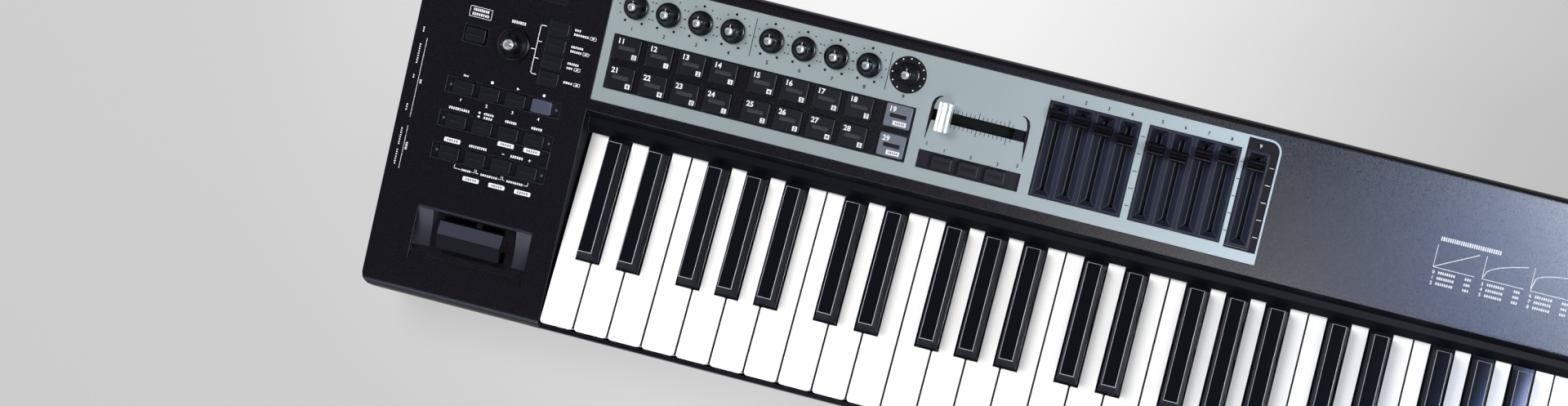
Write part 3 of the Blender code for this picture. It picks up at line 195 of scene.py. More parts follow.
contact_gold = finish("contact_gold", (0.75, 0.58, 0.28), 0.3, 0.9, grain=1500, relief=0.05)
print(len(bpy.data.materials), "materials")

# %% [markdown]
# ## Adding a piece
# A piece is a mesh whose place is in its points. It rides on a body of the model, so that it moves
# with it, and takes the place of the plainer solid that it stands for.

# %% Adding a piece
looks = bpy.data.collections.new("keyboard_looks")
bpy.context.scene.collection.children.link(looks)


def piece(name, mesh, body, slot, material, *stands_for):
    made = bpy.data.objects.new(name, mesh)
    looks.objects.link(made)
    if material is not None:
        mesh.materials.append(material)
    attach(made, body)
    if stands_for:
        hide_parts(*stands_for)
    return made


def round_edges(made, width, segments=2, angle=35, edge_paint=None, clamp=True):
    """Rounds the sharp edges, with a finish of their own if one is given, and lets the large faces
    keep their own flat shading. That finish on the rounding is painted light: a lighter one paints
    a highlight on the case, a grey one paints shade on the white keys."""
    bevel = made.modifiers.new("round edges", "BEVEL")
    bevel.use_clamp_overlap = clamp
    bevel.width = width * MM
    bevel.segments = segments
    bevel.limit_method = "ANGLE"
    bevel.angle_limit = math.radians(angle)
    if edge_paint is not None:
        made.data.materials.append(edge_paint)
        bevel.material = len(made.data.materials) - 1
    flat = made.modifiers.new("flat faces", "WEIGHTED_NORMAL")
    flat.keep_sharp = True


def mesh_from(bm, name, smooth=35):
    mesh = bpy.data.meshes.new(name)
    bm.to_mesh(mesh)
    bm.free()
    mesh.shade_smooth()
    mesh.set_sharp_from_angle(angle=math.radians(smooth))
    return mesh


def solid(bm, name, body, slot, material, *stands_for, smooth=35, outward=False):
    """A piece made of closed shapes, with its faces turned outwards first if they may not be."""
    if outward:
        bmesh.ops.recalc_face_normals(bm, faces=bm.faces)
    return piece(name, mesh_from(bm, name, smooth), body, slot, material, *stands_for)


print("pieces go to the collection", looks.name)

# %% [markdown]
# ## Fine versions of the solids
# A solid is stored as loose triangles. Merging a copy of it, and dissolving the edges that lie in
# flat faces, gives a clean mesh that can be shaded smooth and bevelled. The bevel matters more
# than any texture, because a moulded edge always catches a line of light.

# %% Fine versions of the solids
# A second finish on a bevel is painted light: a lighter one paints a highlight along the edge, a
# grey one paints shade.
TOUCHING, SLIVER, SHARP_EDGE = 2e-6, 1e-4, 0.6


def cut_across(bm, step=30, extra=()):
    """Cuts long faces along X and Y, so that their shading stays even from end to end. Each cut
    keeps away from the points there are, because a sliver would hold every bevel back."""
    for axis in (0, 1):
        taken = sorted({round(v.co[axis], 6) for v in bm.verts})
        low, high = taken[0], taken[-1]
        count = int((high - low) / (step * MM))
        along = Vector((1 - axis, axis, 0))
        cuts = list(extra) if axis == 0 else []
        for i in range(1, count):
            at = low + (high - low) * i / count
            near = [at + step * MM / 60 * k for k in range(-20, 21)]
            cuts.append(max(near, key=lambda c: min(abs(c - v) for v in taken)))
        for at in cuts:
            everything = bm.verts[:] + bm.edges[:] + bm.faces[:]
            bmesh.ops.bisect_plane(bm, geom=everything, plane_co=along * at, plane_no=along)


def polish_edges(bm, width, is_chosen):
    """Chamfers the sharp edges that pass a test, and gives them the second finish, a lighter one
    that paints a highlight along them.
    """
    chosen = [edge for edge in bm.edges
              if edge.calc_face_angle(0) > SHARP_EDGE and is_chosen(*(v.co for v in edge.verts))]
    bmesh.ops.bevel(bm, geom=chosen, offset=width * MM, segments=2, profile=0.5,
                    affect="EDGES", material=1)


print("cuts keep", 1000 * SLIVER, "mm from the points there are")

# %% A fine copy of a solid
def refined(node, body, slot, material, width=0.0, segments=2, smooth=35, edge_paint=None,
            extra=(), bright=None, clamp=True):
    """A clean copy of a solid with rounded edges. "bright" is a test for the edges that alone get
    the second finish. Without it, all of them get it."""
    bm = bmesh.new()
    bm.from_mesh(nodes[node].data)
    bmesh.ops.remove_doubles(bm, verts=bm.verts, dist=TOUCHING)
    bmesh.ops.dissolve_limit(
        bm, angle_limit=math.radians(0.2), verts=bm.verts[:], edges=bm.edges[:]
    )
    cut_across(bm, extra=extra)
    bmesh.ops.remove_doubles(bm, verts=bm.verts, dist=SLIVER)
    if bright is not None:
        polish_edges(bm, width, bright)
    made = piece("fine_" + node, mesh_from(bm, node, smooth), body, slot, material, node)
    if bright is not None:
        made.data.materials.append(edge_paint)
        edge_paint = None
    if width:
        round_edges(made, width, segments, edge_paint=edge_paint, clamp=clamp)
    return made


print("a fine copy replaces its solid")

# %% A second finish on some faces
ANY_WAY, UPRIGHT, SLOPING, LEVEL = (0, 1.01), (0, 0.5), (0.2, 0.98), (0.98, 1.01)


def repaint(made, material, low, high, tilted=ANY_WAY):
    """Gives a finish to the faces in a box of the panel's space, by how upright they stand."""
    made.data.materials.append(material)
    back = panel.inverted()
    up = panel.to_3x3() @ Vector((0, 0, 1))
    for face in made.data.polygons:
        spot = back @ face.center
        inside = all(low[k] <= spot[k] <= high[k] for k in range(3))
        if inside and tilted[0] <= abs(face.normal.dot(up.normalized())) < tilted[1]:
            face.material_index = len(made.data.materials) - 1


def paint_sides(made, material, is_side):
    """Gives a finish to the faces whose normal passes a test."""
    made.data.materials.append(material)
    for face in made.data.polygons:
        if face.material_index == 0 and is_side(face.normal):
            face.material_index = len(made.data.materials) - 1


print("faces are chosen by place and by direction")

# %% The case, the plate and the keys
# The case's rounded edges get a finish about ten times lighter than the case: a painted highlight.
case = refined("top_case", "chassis", "case", case_satin, 0.2, edge_paint=case_edge,
               extra=[(KEYS_LEFT - 0.5) * MM, (KEYS_LEFT + 682) * MM], clamp=False)
crossfader_recess = (221, 193, -5), (288, 203, -0.3)
# The lip behind the keys, the walls at the ends of the keys, the floor under the fader slots and
# the crossfader recess get a darker, duller finish: painted shade.
for material, low, high, tilted in (
    (lip_matte, (-1, 128, -20), (690, 145.6, 8), ANY_WAY),  # the lip behind the keys
    (lip_matte, (-4, -12, -20), (1, 146, 8), UPRIGHT),  # the walls at the ends of the keys
    (lip_matte, (680, -12, -20), (687, 146, 8), UPRIGHT),
    # The trench walls, and the level strips between the trenches, get a bluish finish lighter than
    # the case: a painted sheen.
    (trench_slate, (290, 161, -5.6), (446, 227, -0.3), SLOPING),  # the fader trenches
    (trench_slate, (290, 161, -1.3), (446, 227, -0.9), LEVEL),
    (lip_matte, (290, 161, -9), (446, 227, -5.2), LEVEL),
    (lip_matte, *crossfader_recess, ANY_WAY),
):
    repaint(case, material, low, high, tilted)
refined("bottom_case", "chassis", "base", tray_matte, 0.4)
refined("socket_panel", "chassis", "case", case_satin, 0.15)
refined("bender_housing", "chassis", "case", case_satin, 0.2)
plate = refined("control_plate", "chassis", "plate", plate_silver, 0.12)
# The plate's crossfader recess gets the same painted shade.
repaint(plate, lip_matte, *crossfader_recess)
sharp_top = max(v.co.z for v in nodes["sharp_keys_1"].data.vertices) - MM
# The white keys' rounded edges get a grey finish and their sides a dark one: painted shade, which
# draws the gaps between them as dark lines.
for octave in range(1, 5):
    for comb in ("outer", "inner"):
        node = f"natural_keys_{comb}_{octave}"
        keys = refined(node, f"{comb}_naturals_{octave}", "natural", ivory_white, 0.25,
                       edge_paint=ivory_edge)
        paint_sides(keys, ivory_side, lambda normal: abs(normal.x) > 0.9)
    # The black keys' top edges get a light grey finish, a painted highlight, and their sides a
    # bluish finish with almost no gloss, a painted shade.
    keys = refined(f"sharp_keys_{octave}", f"sharps_{octave}", "sharp", ebony_gloss, 0.3,
                   edge_paint=ebony_edge, bright=lambda a, b: min(a.z, b.z) > sharp_top)
    paint_sides(keys, ebony_side, lambda normal: abs(normal.z) < 0.9)
paddle = refined("bender_paddle", "paddle", "knob", paddle_black, 0.6, 3, 50)
# The paddle's level rear band gets a lighter finish: a painted sheen.
paint_sides(paddle, paddle_sheen, lambda normal: normal.z > 0.97)
refined("power_switch", "power", "knob", knob_black, 0.4)
refined("merge_switch", "merge", "knob", knob_black, 0.2)
print("case of", len(case.data.polygons), "faces")

# %% [markdown]
# ## Finishes of the plain solids
# What stays as it is, such as the feet and the boards inside, gets its finish on its own slots.

# %% Finishes of the plain solids
plain = {
    "key_frame": tray_matte,
    "bender_cradle": moulded_grey,
    "contact_board": board_dark,
    "panel_board": board_dark,
    "contact_strip": silicone_grey,
    "jack_board": tray_matte,
    "display_window": window_dark,
}
for corner in ("front_left", "front_right", "rear_left", "rear_right"):
    plain["foot_" + corner] = foot_rubber
for node, material in plain.items():
    nodes[node].data.materials.clear()
    nodes[node].data.materials.append(material)
print(len(plain), "plain solids")

# %% [markdown]
# ## Turned pieces
# A knob is a profile turned about its shaft. The profile goes from the middle of the crown down
# over the cone to the skirt, and underneath to the shaft, so that the piece is closed.

# %% Turned pieces
def turned(profile, x, s, sides=48):
    """A profile of (radius, height) pairs turned about the panel's normal at a place."""
    bm = bmesh.new()
    line = [bm.verts.new((r, 0, h)) for r, h in profile]
    edges = [bm.edges.new(pair) for pair in zip(line, line[1:])]
    bmesh.ops.spin(
        bm, geom=line + edges, cent=(0, 0, 0), axis=(0, 0, 1), angle=math.tau, steps=sides
    )
    bmesh.ops.remove_doubles(bm, verts=bm.verts, dist=0.001)
    bmesh.ops.recalc_face_normals(bm, faces=bm.faces)
    bm.transform(panel @ Matrix.Translation((x, s, 0)))
    return bm


SHAFT = [(3.0, 0.7), (3.0, -6.7), (0, -6.7)]
KNOB_RADIUS, DIAL_RADIUS, DIAL_X, DIAL_S, DIAL_CROWN = 8.3, 11.0, -58.2, 175.5, 1.32


def knob_profile(radius):
    k = radius / KNOB_RADIUS
    across = (0, 3.6, 3.95, 4.2, 4.3, 4.7, 5.3, 6.1, 6.9, 7.0, 7.7, 8.15, 8.3, 8.3, 8.1)
    above = (9.6, 9.6, 9.9, 9.7, 9.0, 7.6, 5.6, 3.9, 2.9, 2.5, 2.3, 1.9, 1.4, 0.8, 0.7)
    return [(r * k, h) for r, h in zip(across, above)] + SHAFT


crown = [(0, 13.1), (1.3, 13.2), (2.2, 12.3), (2.8, 11.2), (3.0, 9.7), (0, 9.65)]
turned_knobs = [("knob_{}_" + str(i), f"knob_body_{i}", f"knob_{i}", x, KNOB_ROW, KNOB_RADIUS,
                 1, 48, 9) for i, x in enumerate(knob_x, 1)]
dial = ("dial_{}", "dial", "value_dial", DIAL_X, DIAL_S, DIAL_RADIUS, DIAL_CROWN, 64, 11)
# The crowns get a bright, mostly metallic finish whose diffuse share keeps them light whatever
# they face: a painted gleam.
for name, body, node, x, s, radius, wider, sides, facets in (*turned_knobs, dial):
    cone = turned(knob_profile(radius), x, s, sides)
    solid(cone, name.format("cone"), body, "knob", knob_black, node, smooth=50)
    top = turned([(r * wider, h) for r, h in crown], x, s, facets)
    solid(top, name.format("crown"), body, "knob", crown_chrome, smooth=5)
print("nine knobs and a dial")

# %% [markdown]
# ## Prisms
# Pads, buttons and fader caps are outlines pushed along one direction. A rounded rectangle is the
# outline most of them share.

# %% Prisms
def rounded_box(x, s, wide, deep, radius, steps=4):
    """The corners of a rectangle round a place, each turned into an arc."""
    points = []
    for turn_by, (sx, sy) in enumerate(((1, 1), (-1, 1), (-1, -1), (1, -1))):
        cx = x + sx * (wide / 2 - radius)
        cy = s + sy * (deep / 2 - radius)
        for step in range(steps + 1):
            a = math.pi / 2 * (turn_by + step / steps)
            points.append((cx + radius * math.cos(a), cy + radius * math.sin(a)))
    return points


def add_prism(bm, outline, low, high, matrix=panel, axis="out"):
    """Adds a closed prism. Along "out" its outline is (x, slope), along "x" it is (slope, out),
    and along "slope" it is (x, out)."""
    if axis == "out":
        ends = [[(a, b, h) for a, b in outline] for h in (low, high)]
    elif axis == "x":
        ends = [[(h, a, b) for a, b in outline] for h in (low, high)]
    else:
        ends = [[(a, h, b) for a, b in reversed(outline)] for h in (low, high)]
    rings = [[bm.verts.new(matrix @ Vector(p)) for p in end] for end in ends]
    bm.faces.new(reversed(rings[0]))
    bm.faces.new(rings[1])
    for i in range(len(outline)):
        j = (i + 1) % len(outline)
        bm.faces.new((rings[0][i], rings[0][j], rings[1][j], rings[1][i]))


def disc(x, s, radius, sides=12):
    turns = [math.tau * i / sides for i in range(sides)]
    return [(x + radius * math.cos(a), s + radius * math.sin(a)) for a in turns]


print("outlines for pads, buttons and caps")

# %% [markdown]
# ## Pads and buttons
# Each group of pads is one rubber mat with its caps standing up through the panel, and each row of
# buttons is one moulded strip. A cap has rounded corners and a low ridge that the finger finds.

# %% A strip of caps
BASE_HIGH, ROOT, BOSS_HIGH, RIDGE_HIGH, RIDGE_ROOT = 2.0, 0.5, 1.3, 0.75, 0.3


def panel_bounds(node):
    """The lowest and highest corner of a solid in the panel's space."""
    back = panel.inverted()
    points = [back @ vertex.co for vertex in nodes[node].data.vertices]
    return [[pick(p[k] for p in points) for k in range(3)] for pick in (min, max)]


def strip(name, body, node, places, size, corner, rise, material, slot="button", bosses=()):
    """The base of a solid, with a cap at each place and small bright bosses on the base."""
    low, high = panel_bounds(node)
    base_top = low[2] + BASE_HIGH
    middle = ((low[0] + high[0]) / 2, (low[1] + high[1]) / 2)
    bm = bmesh.new()
    flat = (high[0] - low[0], high[1] - low[1])
    add_prism(bm, rounded_box(*middle, *flat, 0.5), low[2], base_top)
    for x, s in places:
        add_prism(bm, rounded_box(x, s, *size, corner), base_top - ROOT, rise)
    round_edges(solid(bm, name, body, slot, material, node), 0.4, 3, 50)
    if bosses:
        bm = bmesh.new()
        for x in bosses:
            spot = disc(middle[0] + x, middle[1], 1.0)
            add_prism(bm, spot, base_top - ROOT, base_top + BOSS_HIGH)
        solid(bm, name + "_bosses", body, slot, rubber_slate)


def ridges(name, body, places, wide, deep, rise, material, slot="button"):
    """A low rounded ridge across the middle of each cap, which the finger finds."""
    bm = bmesh.new()
    arc = [math.pi * i / 8 for i in range(9)]
    for x, s in places:
        outline = [(s + deep / 2 * math.cos(a), rise - RIDGE_ROOT + RIDGE_HIGH * math.sin(a))
                   for a in arc]
        add_prism(bm, outline, x - wide / 2, x + wide / 2, axis="x")
    solid(bm, name, body, slot, material, smooth=50)


print("a strip has a base, caps and bosses")

# %% The strips of buttons and the mats of pads
button, pad, pad_rows, ends = (13.4, 9.0), (17.7, 15.1), (191.0, 171.4), (-36.6, 36.6)
BUTTON_TOP, PAD_TOP = 1.1, 1.0
assign_x = [254.7 + 18 * k for k in (-1, 0, 1)]
rows = (
    ("transport", "transport_buttons", [(x, row_s[0]) for x in row_x], ends),
    ("layers", "layer_buttons", [(x, row_s[1]) for x in row_x], ends),
    ("octaves", "octave_buttons", [(x, row_s[2]) for x in row_x], ends),
    ("functions", "function_buttons", [(-30.5, s) for s in function_s], ()),
    ("mapping", "mapping_button", [(-84.8, 175.6)], ()),
    ("assigns", "assign_buttons", [(x, 167.8) for x in assign_x], ()),
)
record_at = (row_x[3], row_s[0])
for body, node, places, bosses in rows:
    dark = [spot for spot in places if spot != record_at]
    strip(body + "_caps", body, node, dark, button, 1.0, BUTTON_TOP, rubber_dark, bosses=bosses)
    ridges(body + "_ridges", body, dark, 9.0, 2.2, BUTTON_TOP, rubber_dark)
bm = bmesh.new()
add_prism(bm, rounded_box(*record_at, *button, 1.0), -3.2, BUTTON_TOP)
round_edges(solid(bm, "record_cap", "transport", "pad_slate", rubber_slate), 0.4, 3, 50)
for group, first, count, material, slot in (
    ("left", 0, 4, rubber_dark, "button"),
    ("middle", 4, 4, rubber_dark, "button"),
    ("right", 8, 1, pad_slate, "pad_slate"),
):
    places = [(x, s) for x in knob_x[first:first + count] for s in pad_rows]
    strip(f"pad_caps_{group}", f"pads_{group}", f"pad_mat_{group}", places,
          pad, 1.2, PAD_TOP, material, slot)
    # The ridges of the rubber pads get a lighter finish than the pads: a painted highlight.
    band = rubber_dark if group == "right" else rubber_sheen
    ridges(f"pad_ridges_{group}", f"pads_{group}", places, 11.0, 2.9, PAD_TOP, band)
print("nine strips of caps")

# %% [markdown]
# ## The bender's dish
# The paddle stands in a dish. On either side of it the floor of the dish sweeps up to the rear rim
# in a curve, so that a finger slides in from the front. Each wing is a prism with that curve, and
# it keeps out of the paddle's swing. A thin rim lies behind both wings. The wings and the rim are
# lighter and glossier than the case: a painted sheen, which draws a line of light along the rim.

# %% The bender's dish
DISH_X, DISH_WIDE, DISH_DEEP, DISH_FRONT, DISH_REAR = -58.0, 79.3, 5.6, 29.5, 55.0
PADDLE_WIDE, SWING, RIM_DEEP, RIM_HIGH = 43.6, 7.2, 1.7, 0.04
curve = [(DISH_FRONT + (DISH_REAR - DISH_FRONT) * t, 0.05 - DISH_DEEP + (DISH_DEEP - 0.4) * t * t)
         for t in [i / 12 for i in range(13)]]
curve += [(DISH_REAR, -DISH_DEEP), (DISH_FRONT, -DISH_DEEP)]
bm = bmesh.new()
for side in (-1, 1):
    ends = sorted((DISH_X + side * (PADDLE_WIDE / 2 + SWING), DISH_X + side * DISH_WIDE / 2))
    add_prism(bm, list(reversed(curve)), *ends, axis="x")
rim = rounded_box(DISH_X, DISH_REAR + RIM_DEEP / 2, DISH_WIDE, RIM_DEEP, 0.3)
add_prism(bm, rim, 0, RIM_HIGH)
solid(bm, "dish_wings", "chassis", "case", dish_satin, outward=True)
print("two wings of the dish, and its rim")

# %% [markdown]
# ## Fader caps
# A fader cap is a block with a finger dip across its top. The crossfader's cap is white, with
# three ribs.

# %% Fader caps
CAP_WIDE, CROSS_X, CROSS_S, CROSS_CAP, STEM_LOW = 11.0, 232.0, 198, 19.4, -9.1
dip = [(-3.7, 0.3), (3.7, 0.3), (3.7, 6.2), (2.9, 8.4), (1.9, 8.5), (0.9, 7.3), (0.25, 7.1),
       (0.25, 7.5), (-0.25, 7.5), (-0.25, 7.1), (-0.9, 7.3), (-1.9, 8.5), (-2.9, 8.4), (-3.7, 6.2)]
for i, (x, s) in enumerate(zip(fader_x, fader_s), 1):
    bm = bmesh.new()
    add_prism(bm, [(s + a, h) for a, h in dip], x - CAP_WIDE / 2, x + CAP_WIDE / 2, axis="x")
    add_prism(bm, rounded_box(x, s, 1.6, 7.2, 0.3), STEM_LOW, 0.6)
    made = solid(bm, f"fader_cap_piece_{i}", f"fader_cap_{i}", "knob", knob_black, f"fader_{i}")
    round_edges(made, 0.35, 2, 40)
bm = bmesh.new()
half_rib = [(4.6, 0.7), (4.6, 6.3), (4.2, 7.7), (2.6, 8.1), (2.3, 6.0), (1.7, 6.0), (1.4, 9.4)]
rib = half_rib + [(-a, h) for a, h in reversed(half_rib)]
rib = [(CROSS_X + a, h) for a, h in rib]
add_prism(bm, rib, CROSS_S - CROSS_CAP / 2, CROSS_S + CROSS_CAP / 2, axis="slope")
add_prism(bm, rounded_box(CROSS_X, CROSS_S, 1.6, 6.6, 0.3), STEM_LOW, 1.2)
made = solid(bm, "crossfader_cap_piece", "crossfader_cap", "white", cap_white, "crossfader")
round_edges(made, 0.3, 2, 30)
print("ten fader caps")

# %% [markdown]
# ## Painted highlights in the trenches
# Each fader runs in a trench with sloping walls. Where its front wall meets the side walls, a thin
# beam with a square section follows each edge. The beams are lighter than the case: a painted
# highlight along those edges.

# %% Painted highlights in the trenches
TRENCH_WIDE, TRENCH_FLOOR, TRENCH_FRONT, TRENCH_DEEP = 15.0, 3.4, 162.0, 5.5
EDGE_THICK, EDGE_INSET, EDGE_TOP = 0.3, 0.4, -0.35


def beam(bm, first, last, thick):
    """A straight square beam between two points of the panel's space."""
    first, last = Vector(first), Vector(last)
    turned_to = (last - first).to_track_quat("Z", "X").to_matrix().to_4x4()
    size = Matrix.Diagonal((thick, thick, (last - first).length, 1))
    place = Matrix.Translation((first + last) / 2) @ turned_to @ size
    bmesh.ops.create_cube(bm, size=1, matrix=panel @ place)


bm = bmesh.new()
run = (TRENCH_WIDE - TRENCH_FLOOR) / 2
for x in fader_x:
    for side in (-1, 1):
        corner = (x + side * (TRENCH_WIDE / 2 - EDGE_INSET), TRENCH_FRONT + EDGE_INSET, EDGE_TOP)
        foot = (x + side * TRENCH_FLOOR / 2, TRENCH_FRONT + run, 0.05 - TRENCH_DEEP)
        beam(bm, corner, foot, EDGE_THICK)
solid(bm, "trench_edges", "chassis", "case", rubber_slate)
print("bright edges in nine trenches")

# %% [markdown]
# ## Printed marks
# The printing is a layer of ink a few hundredths of a millimetre thick. Each mark is an outline on
# the panel, and all marks of one ink make one piece. Numbers come from Blender's own font. Ink
# on a filled label lies a little higher than the label.

# %% Outlines of marks
def bar(x, s, wide, high=1.4):
    return [(x - wide / 2, s - high / 2), (x + wide / 2, s - high / 2),
            (x + wide / 2, s + high / 2), (x - wide / 2, s + high / 2)]


def stroke(x0, s0, x1, s1, thick=0.35):
    along = Vector((x1 - x0, s1 - s0)).normalized() * thick / 2
    side = Vector((-along.y, along.x))
    a, b = Vector((x0, s0)), Vector((x1, s1))
    return [tuple(a - along - side), tuple(b + along - side),
            tuple(b + along + side), tuple(a - along + side)]


def label(x, s, wide, high=1.5):
    """A blank label: short dashes in a row, as long as the words that it stands for."""
    count = max(round(wide / 1.45), 1)
    step = wide / count
    return [bar(x - wide / 2 + step * (i + 0.5), s, step * (0.62 + 0.14 * (i % 3 == 1)), high)
            for i in range(count)]


def path(points, thick=0.35):
    return [stroke(*a, *b, thick) for a, b in zip(points, points[1:])]


def frame_of(x, s, wide, high, thick=0.35):
    l, r, b, t = x - wide / 2, x + wide / 2, s - high / 2, s + high / 2
    return path([(l, b), (r, b), (r, t), (l, t), (l, b)], thick)


print("bars, strokes, labels and frames")

# %% Numbers and ink
INK_LOW, INK_HIGH, OVER_LOW, OVER_HIGH = 0.01, 0.04, 0.05, 0.07


def numeral(text, x, s, high):
    """The text, place and height of a number, kept until its ink is made."""
    return (str(text), x, s, high)


def settled(made, matrix):
    """The plain mesh that a curve or a tree makes, moved by the matrix. Its object goes."""
    looks.objects.link(made)
    bpy.context.view_layer.update()
    graph = bpy.context.evaluated_depsgraph_get()
    mesh = bpy.data.meshes.new_from_object(made.evaluated_get(graph))
    made.modifiers.clear()
    bpy.data.objects.remove(made)
    mesh.transform(matrix)
    return mesh


def add_numeral(bm, mark, low, high):
    text, x, s, size = mark
    curve = bpy.data.curves.new("numeral", "FONT")
    curve.body = text
    curve.size = size * 1.4
    curve.align_x = "CENTER"
    curve.offset = size * 0.04
    curve.extrude = (high - low) / 2
    curve.resolution_u = 3
    place = panel @ Matrix.Translation((x, s - size / 2, (low + high) / 2))
    mesh = settled(bpy.data.objects.new("numeral", curve), place)
    bm.from_mesh(mesh)
    bpy.data.meshes.remove(mesh)


def ink(name, marks, body, slot, material, low=INK_LOW, high=INK_HIGH):
    bm = bmesh.new()
    for mark in marks:
        if isinstance(mark[0], str):
            add_numeral(bm, mark, low, high)
        else:
            add_prism(bm, mark, low, high)
    bmesh.ops.remove_doubles(bm, verts=bm.verts, dist=1e-7)
    solid(bm, name, body, slot, material)


print("inks lie", INK_HIGH, "mm high")

# %% [markdown]
# ### Ink on the case
# White marks name the rows of buttons on the left block. A bracket ties the four function buttons
# to the dial. Plain bars stand where a maker prints words.

# %% White ink on the left block
WORDS_LEFT = -20.6


def labels(*rows):
    """Blank labels, each given by its place, width and height."""
    return [dash for row in rows for dash in label(*row)]


def paths(thick, *lines):
    return [part for line in lines for part in path(line, thick)]


marks = frame_of(-84.6, 190.6, 15.0, 6.8, 0.32)
marks += labels(
    (-84.6, 192.1, 11.0, 1.8), (-84.6, 189.2, 11.8, 1.8), (-58.2, 190.4, 10.0, 2.0),
    (-84.9, 124.8, 14.5, 1.7), (-64.6, 125.9, 7.0, 1.5), (-64.6, 123.3, 6.4, 1.5),
    (-48.9, 124.6, 8.2, 1.7), (-30.9, 124.6, 7.6, 1.7), (-66.9, 102.9, 12.6, 1.7),
    (-39.9, 102.9, 9.0, 1.7), (-71.4, 86.0, 6.6, 1.4), (-55.6, 86.0, 12.0, 1.4),
    (-37.6, 86.0, 11.6, 1.4))
marks += paths(
    0.5,
    [(-39.6, 192.6), (-42.6, 192.6), (-43.3, 191.8), (-43.3, 160.7), (-42.6, 159.9),
     (-39.6, 159.9)],
    [(-43.3, 181.8), (-40.6, 181.8)], [(-43.3, 170.5), (-40.6, 170.5)],
    [(-46.4, 176.0), (-43.3, 176.0)])
for s, first, second in zip(function_s, (4.6, 8.6, 8.0, 0), (10.5, 8.0, 4.5, 6.5)):
    low = s
    if first:
        marks += label(WORDS_LEFT + first / 2, s + 1.5, first, 1.5)
        low = s - 1.5
    marks += label(WORDS_LEFT + second / 2, low, second, 1.5)
    spot = WORDS_LEFT + second + 3.0
    marks += frame_of(spot, low, 4.0, 2.0, 0.3) + [bar(spot, low, 1.6, 0.9)]
print(len(marks), "marks for words")

# %% Numbers and symbols on the left block
marks += [numeral(i + 1, x - 0.4, 131.3, 2.0) for i, x in enumerate(row_x)]
marks += [bar(-86.6, 147.6, 0.4, 1.7), [(-86.4, 147.6), (-85.0, 146.8), (-85.0, 148.4)],
          [(-85.0, 147.6), (-83.6, 146.8), (-83.6, 148.4)], bar(-66.9, 147.4, 1.8, 1.8),
          [(-49.8, 146.5), (-47.8, 147.4), (-49.8, 148.3)], disc(-30.9, 147.4, 1.0),
          disc(-70.9, 125.9, 0.9, 5), disc(-70.9, 123.3, 0.9, 5), bar(-49.2, 102.9, 1.7, 0.5),
          bar(-30.9, 102.9, 1.7, 0.5), bar(-30.9, 102.9, 0.5, 1.7)]
marks += paths(0.35, [(-79.6, 88.4), (-79.6, 86.0), (-75.4, 86.0)],
               [(-31.0, 86.0), (-28.6, 86.0), (-28.6, 88.2)])
for x in (-64.9, -46.6):
    marks += paths(0.35, [(x - 2.6, 86.0), (x - 0.5, 86.0), (x - 0.5, 88.2)],
                   [(x + 0.5, 88.2), (x + 0.5, 86.0), (x + 2.0, 86.0)])
filled = [(-48.9, 109.2), (-30.9, 109.2), (-84.9, 103.4)] + [(x, 80.8) for x in row_x[1:]]
marks += [rounded_box(x, s, 11.2, 3.0, 0.7) for x, s in filled]
ink("left_block_ink", marks, "chassis", "white", ink_white)
marks = [mark for x, s in filled for mark in label(x, s, 7.8, 1.4)]
ink("label_ink", marks, "chassis", "case", ink_grey, OVER_LOW, OVER_HIGH)
print(len(marks), "dashes on the filled labels")

# %% White ink by the sockets and on the right block
SIDE_WORDS, SIDE_LINE, SIDE_SMALL = -120.0, -116.4, -114.6
marks = []
for s, tall in ((206, 13), (171, 4), (154.5, 14), (139, 3), (118, 5), (98, 12), (84, 11)):
    dashes = max(round(tall / 1.5), 1)
    step = tall / dashes
    marks += [bar(SIDE_WORDS, s - tall / 2 + step * (i + 0.5), 0.9, step * 0.55)
              for i in range(dashes)]
marks += [stroke(SIDE_LINE, high, SIDE_LINE, low, 0.3)
          for high, low in ((165.5, 112.0), (106.0, 77.0))]
marks += [bar(SIDE_SMALL, 136.5 + k, 1.3, 0.65) for k in (-1, 0, 1)]
marks += [bar(SIDE_SMALL, 92.5 + 1.1 * k, 1.3, 0.7) for k in (-2, -1, 0, 1, 2)]
marks += label(583.0, 199.6, 40.0, 2.8)
PLOT_LOW, PLOT_HIGH, PLOT_WIDE = 180.6, 195.4, 27
for k, (x, bend) in enumerate(((562.5, 1.0), (594.6, 0.4), (626.2, 0.2))):
    marks += path([(x, PLOT_HIGH), (x, PLOT_LOW), (x + PLOT_WIDE, PLOT_LOW)], 0.4)
    curve = [(x + PLOT_WIDE * t, 180.8 + 14.0 * t ** bend) for t in [i / 14 for i in range(15)]]
    marks += path(curve, 0.6)
    for line in range(3):
        s = 177.6 - 3.6 * line
        marks += [numeral(3 * k + line, x + 1.0, s, 2.2)] + label(x + 9.5, s, 11.5, 1.7)
        marks += label(x + 23.6, s, 4.4, 1.7)
ink("right_block_ink", marks, "chassis", "white", ink_white)
print(len(marks), "marks by the sockets and the curves")

# %% [markdown]
# ### Ink on the plate
# Black marks on the silver plate number the knobs and faders. The ninth knob and the ninth fader
# stand on black fields, with white marks.

# %% Black ink on the plate
FADER_NUMERALS = 229.3
marks = [numeral(i + 1, x, 204.6, 2.5) for i, x in enumerate(knob_x)]
marks += [numeral(i + 1, x, FADER_NUMERALS, 2.3) for i, x in enumerate(fader_x[:8])]
marks += [numeral(i + 1, x, 176.4, 2.2) for i, x in enumerate(assign_x)]
marks += [numeral(1, 224.4, 178.6, 2.2), numeral(2, 285.6, 178.6, 2.2)]
marks += [stroke(x, 206, x, 231, 0.5) for x in (96.7, 189.0)]
horn = [(0, 211.3), (2.6, 210.6), (4.9, 208.6), (6.0, 205.6), (6.3, 197.0), (6.2, 188.0),
        (6.0, 181.5), (5.7, 181.5), (4.3, 194.0), (4.2, 204.0), (3.4, 207.4), (1.9, 209.8),
        (0, 210.7)]
marks += [[(tip + side * x, s) for x, s in horn] for side, tip in ((-1, 227.9), (1, 281.9))]
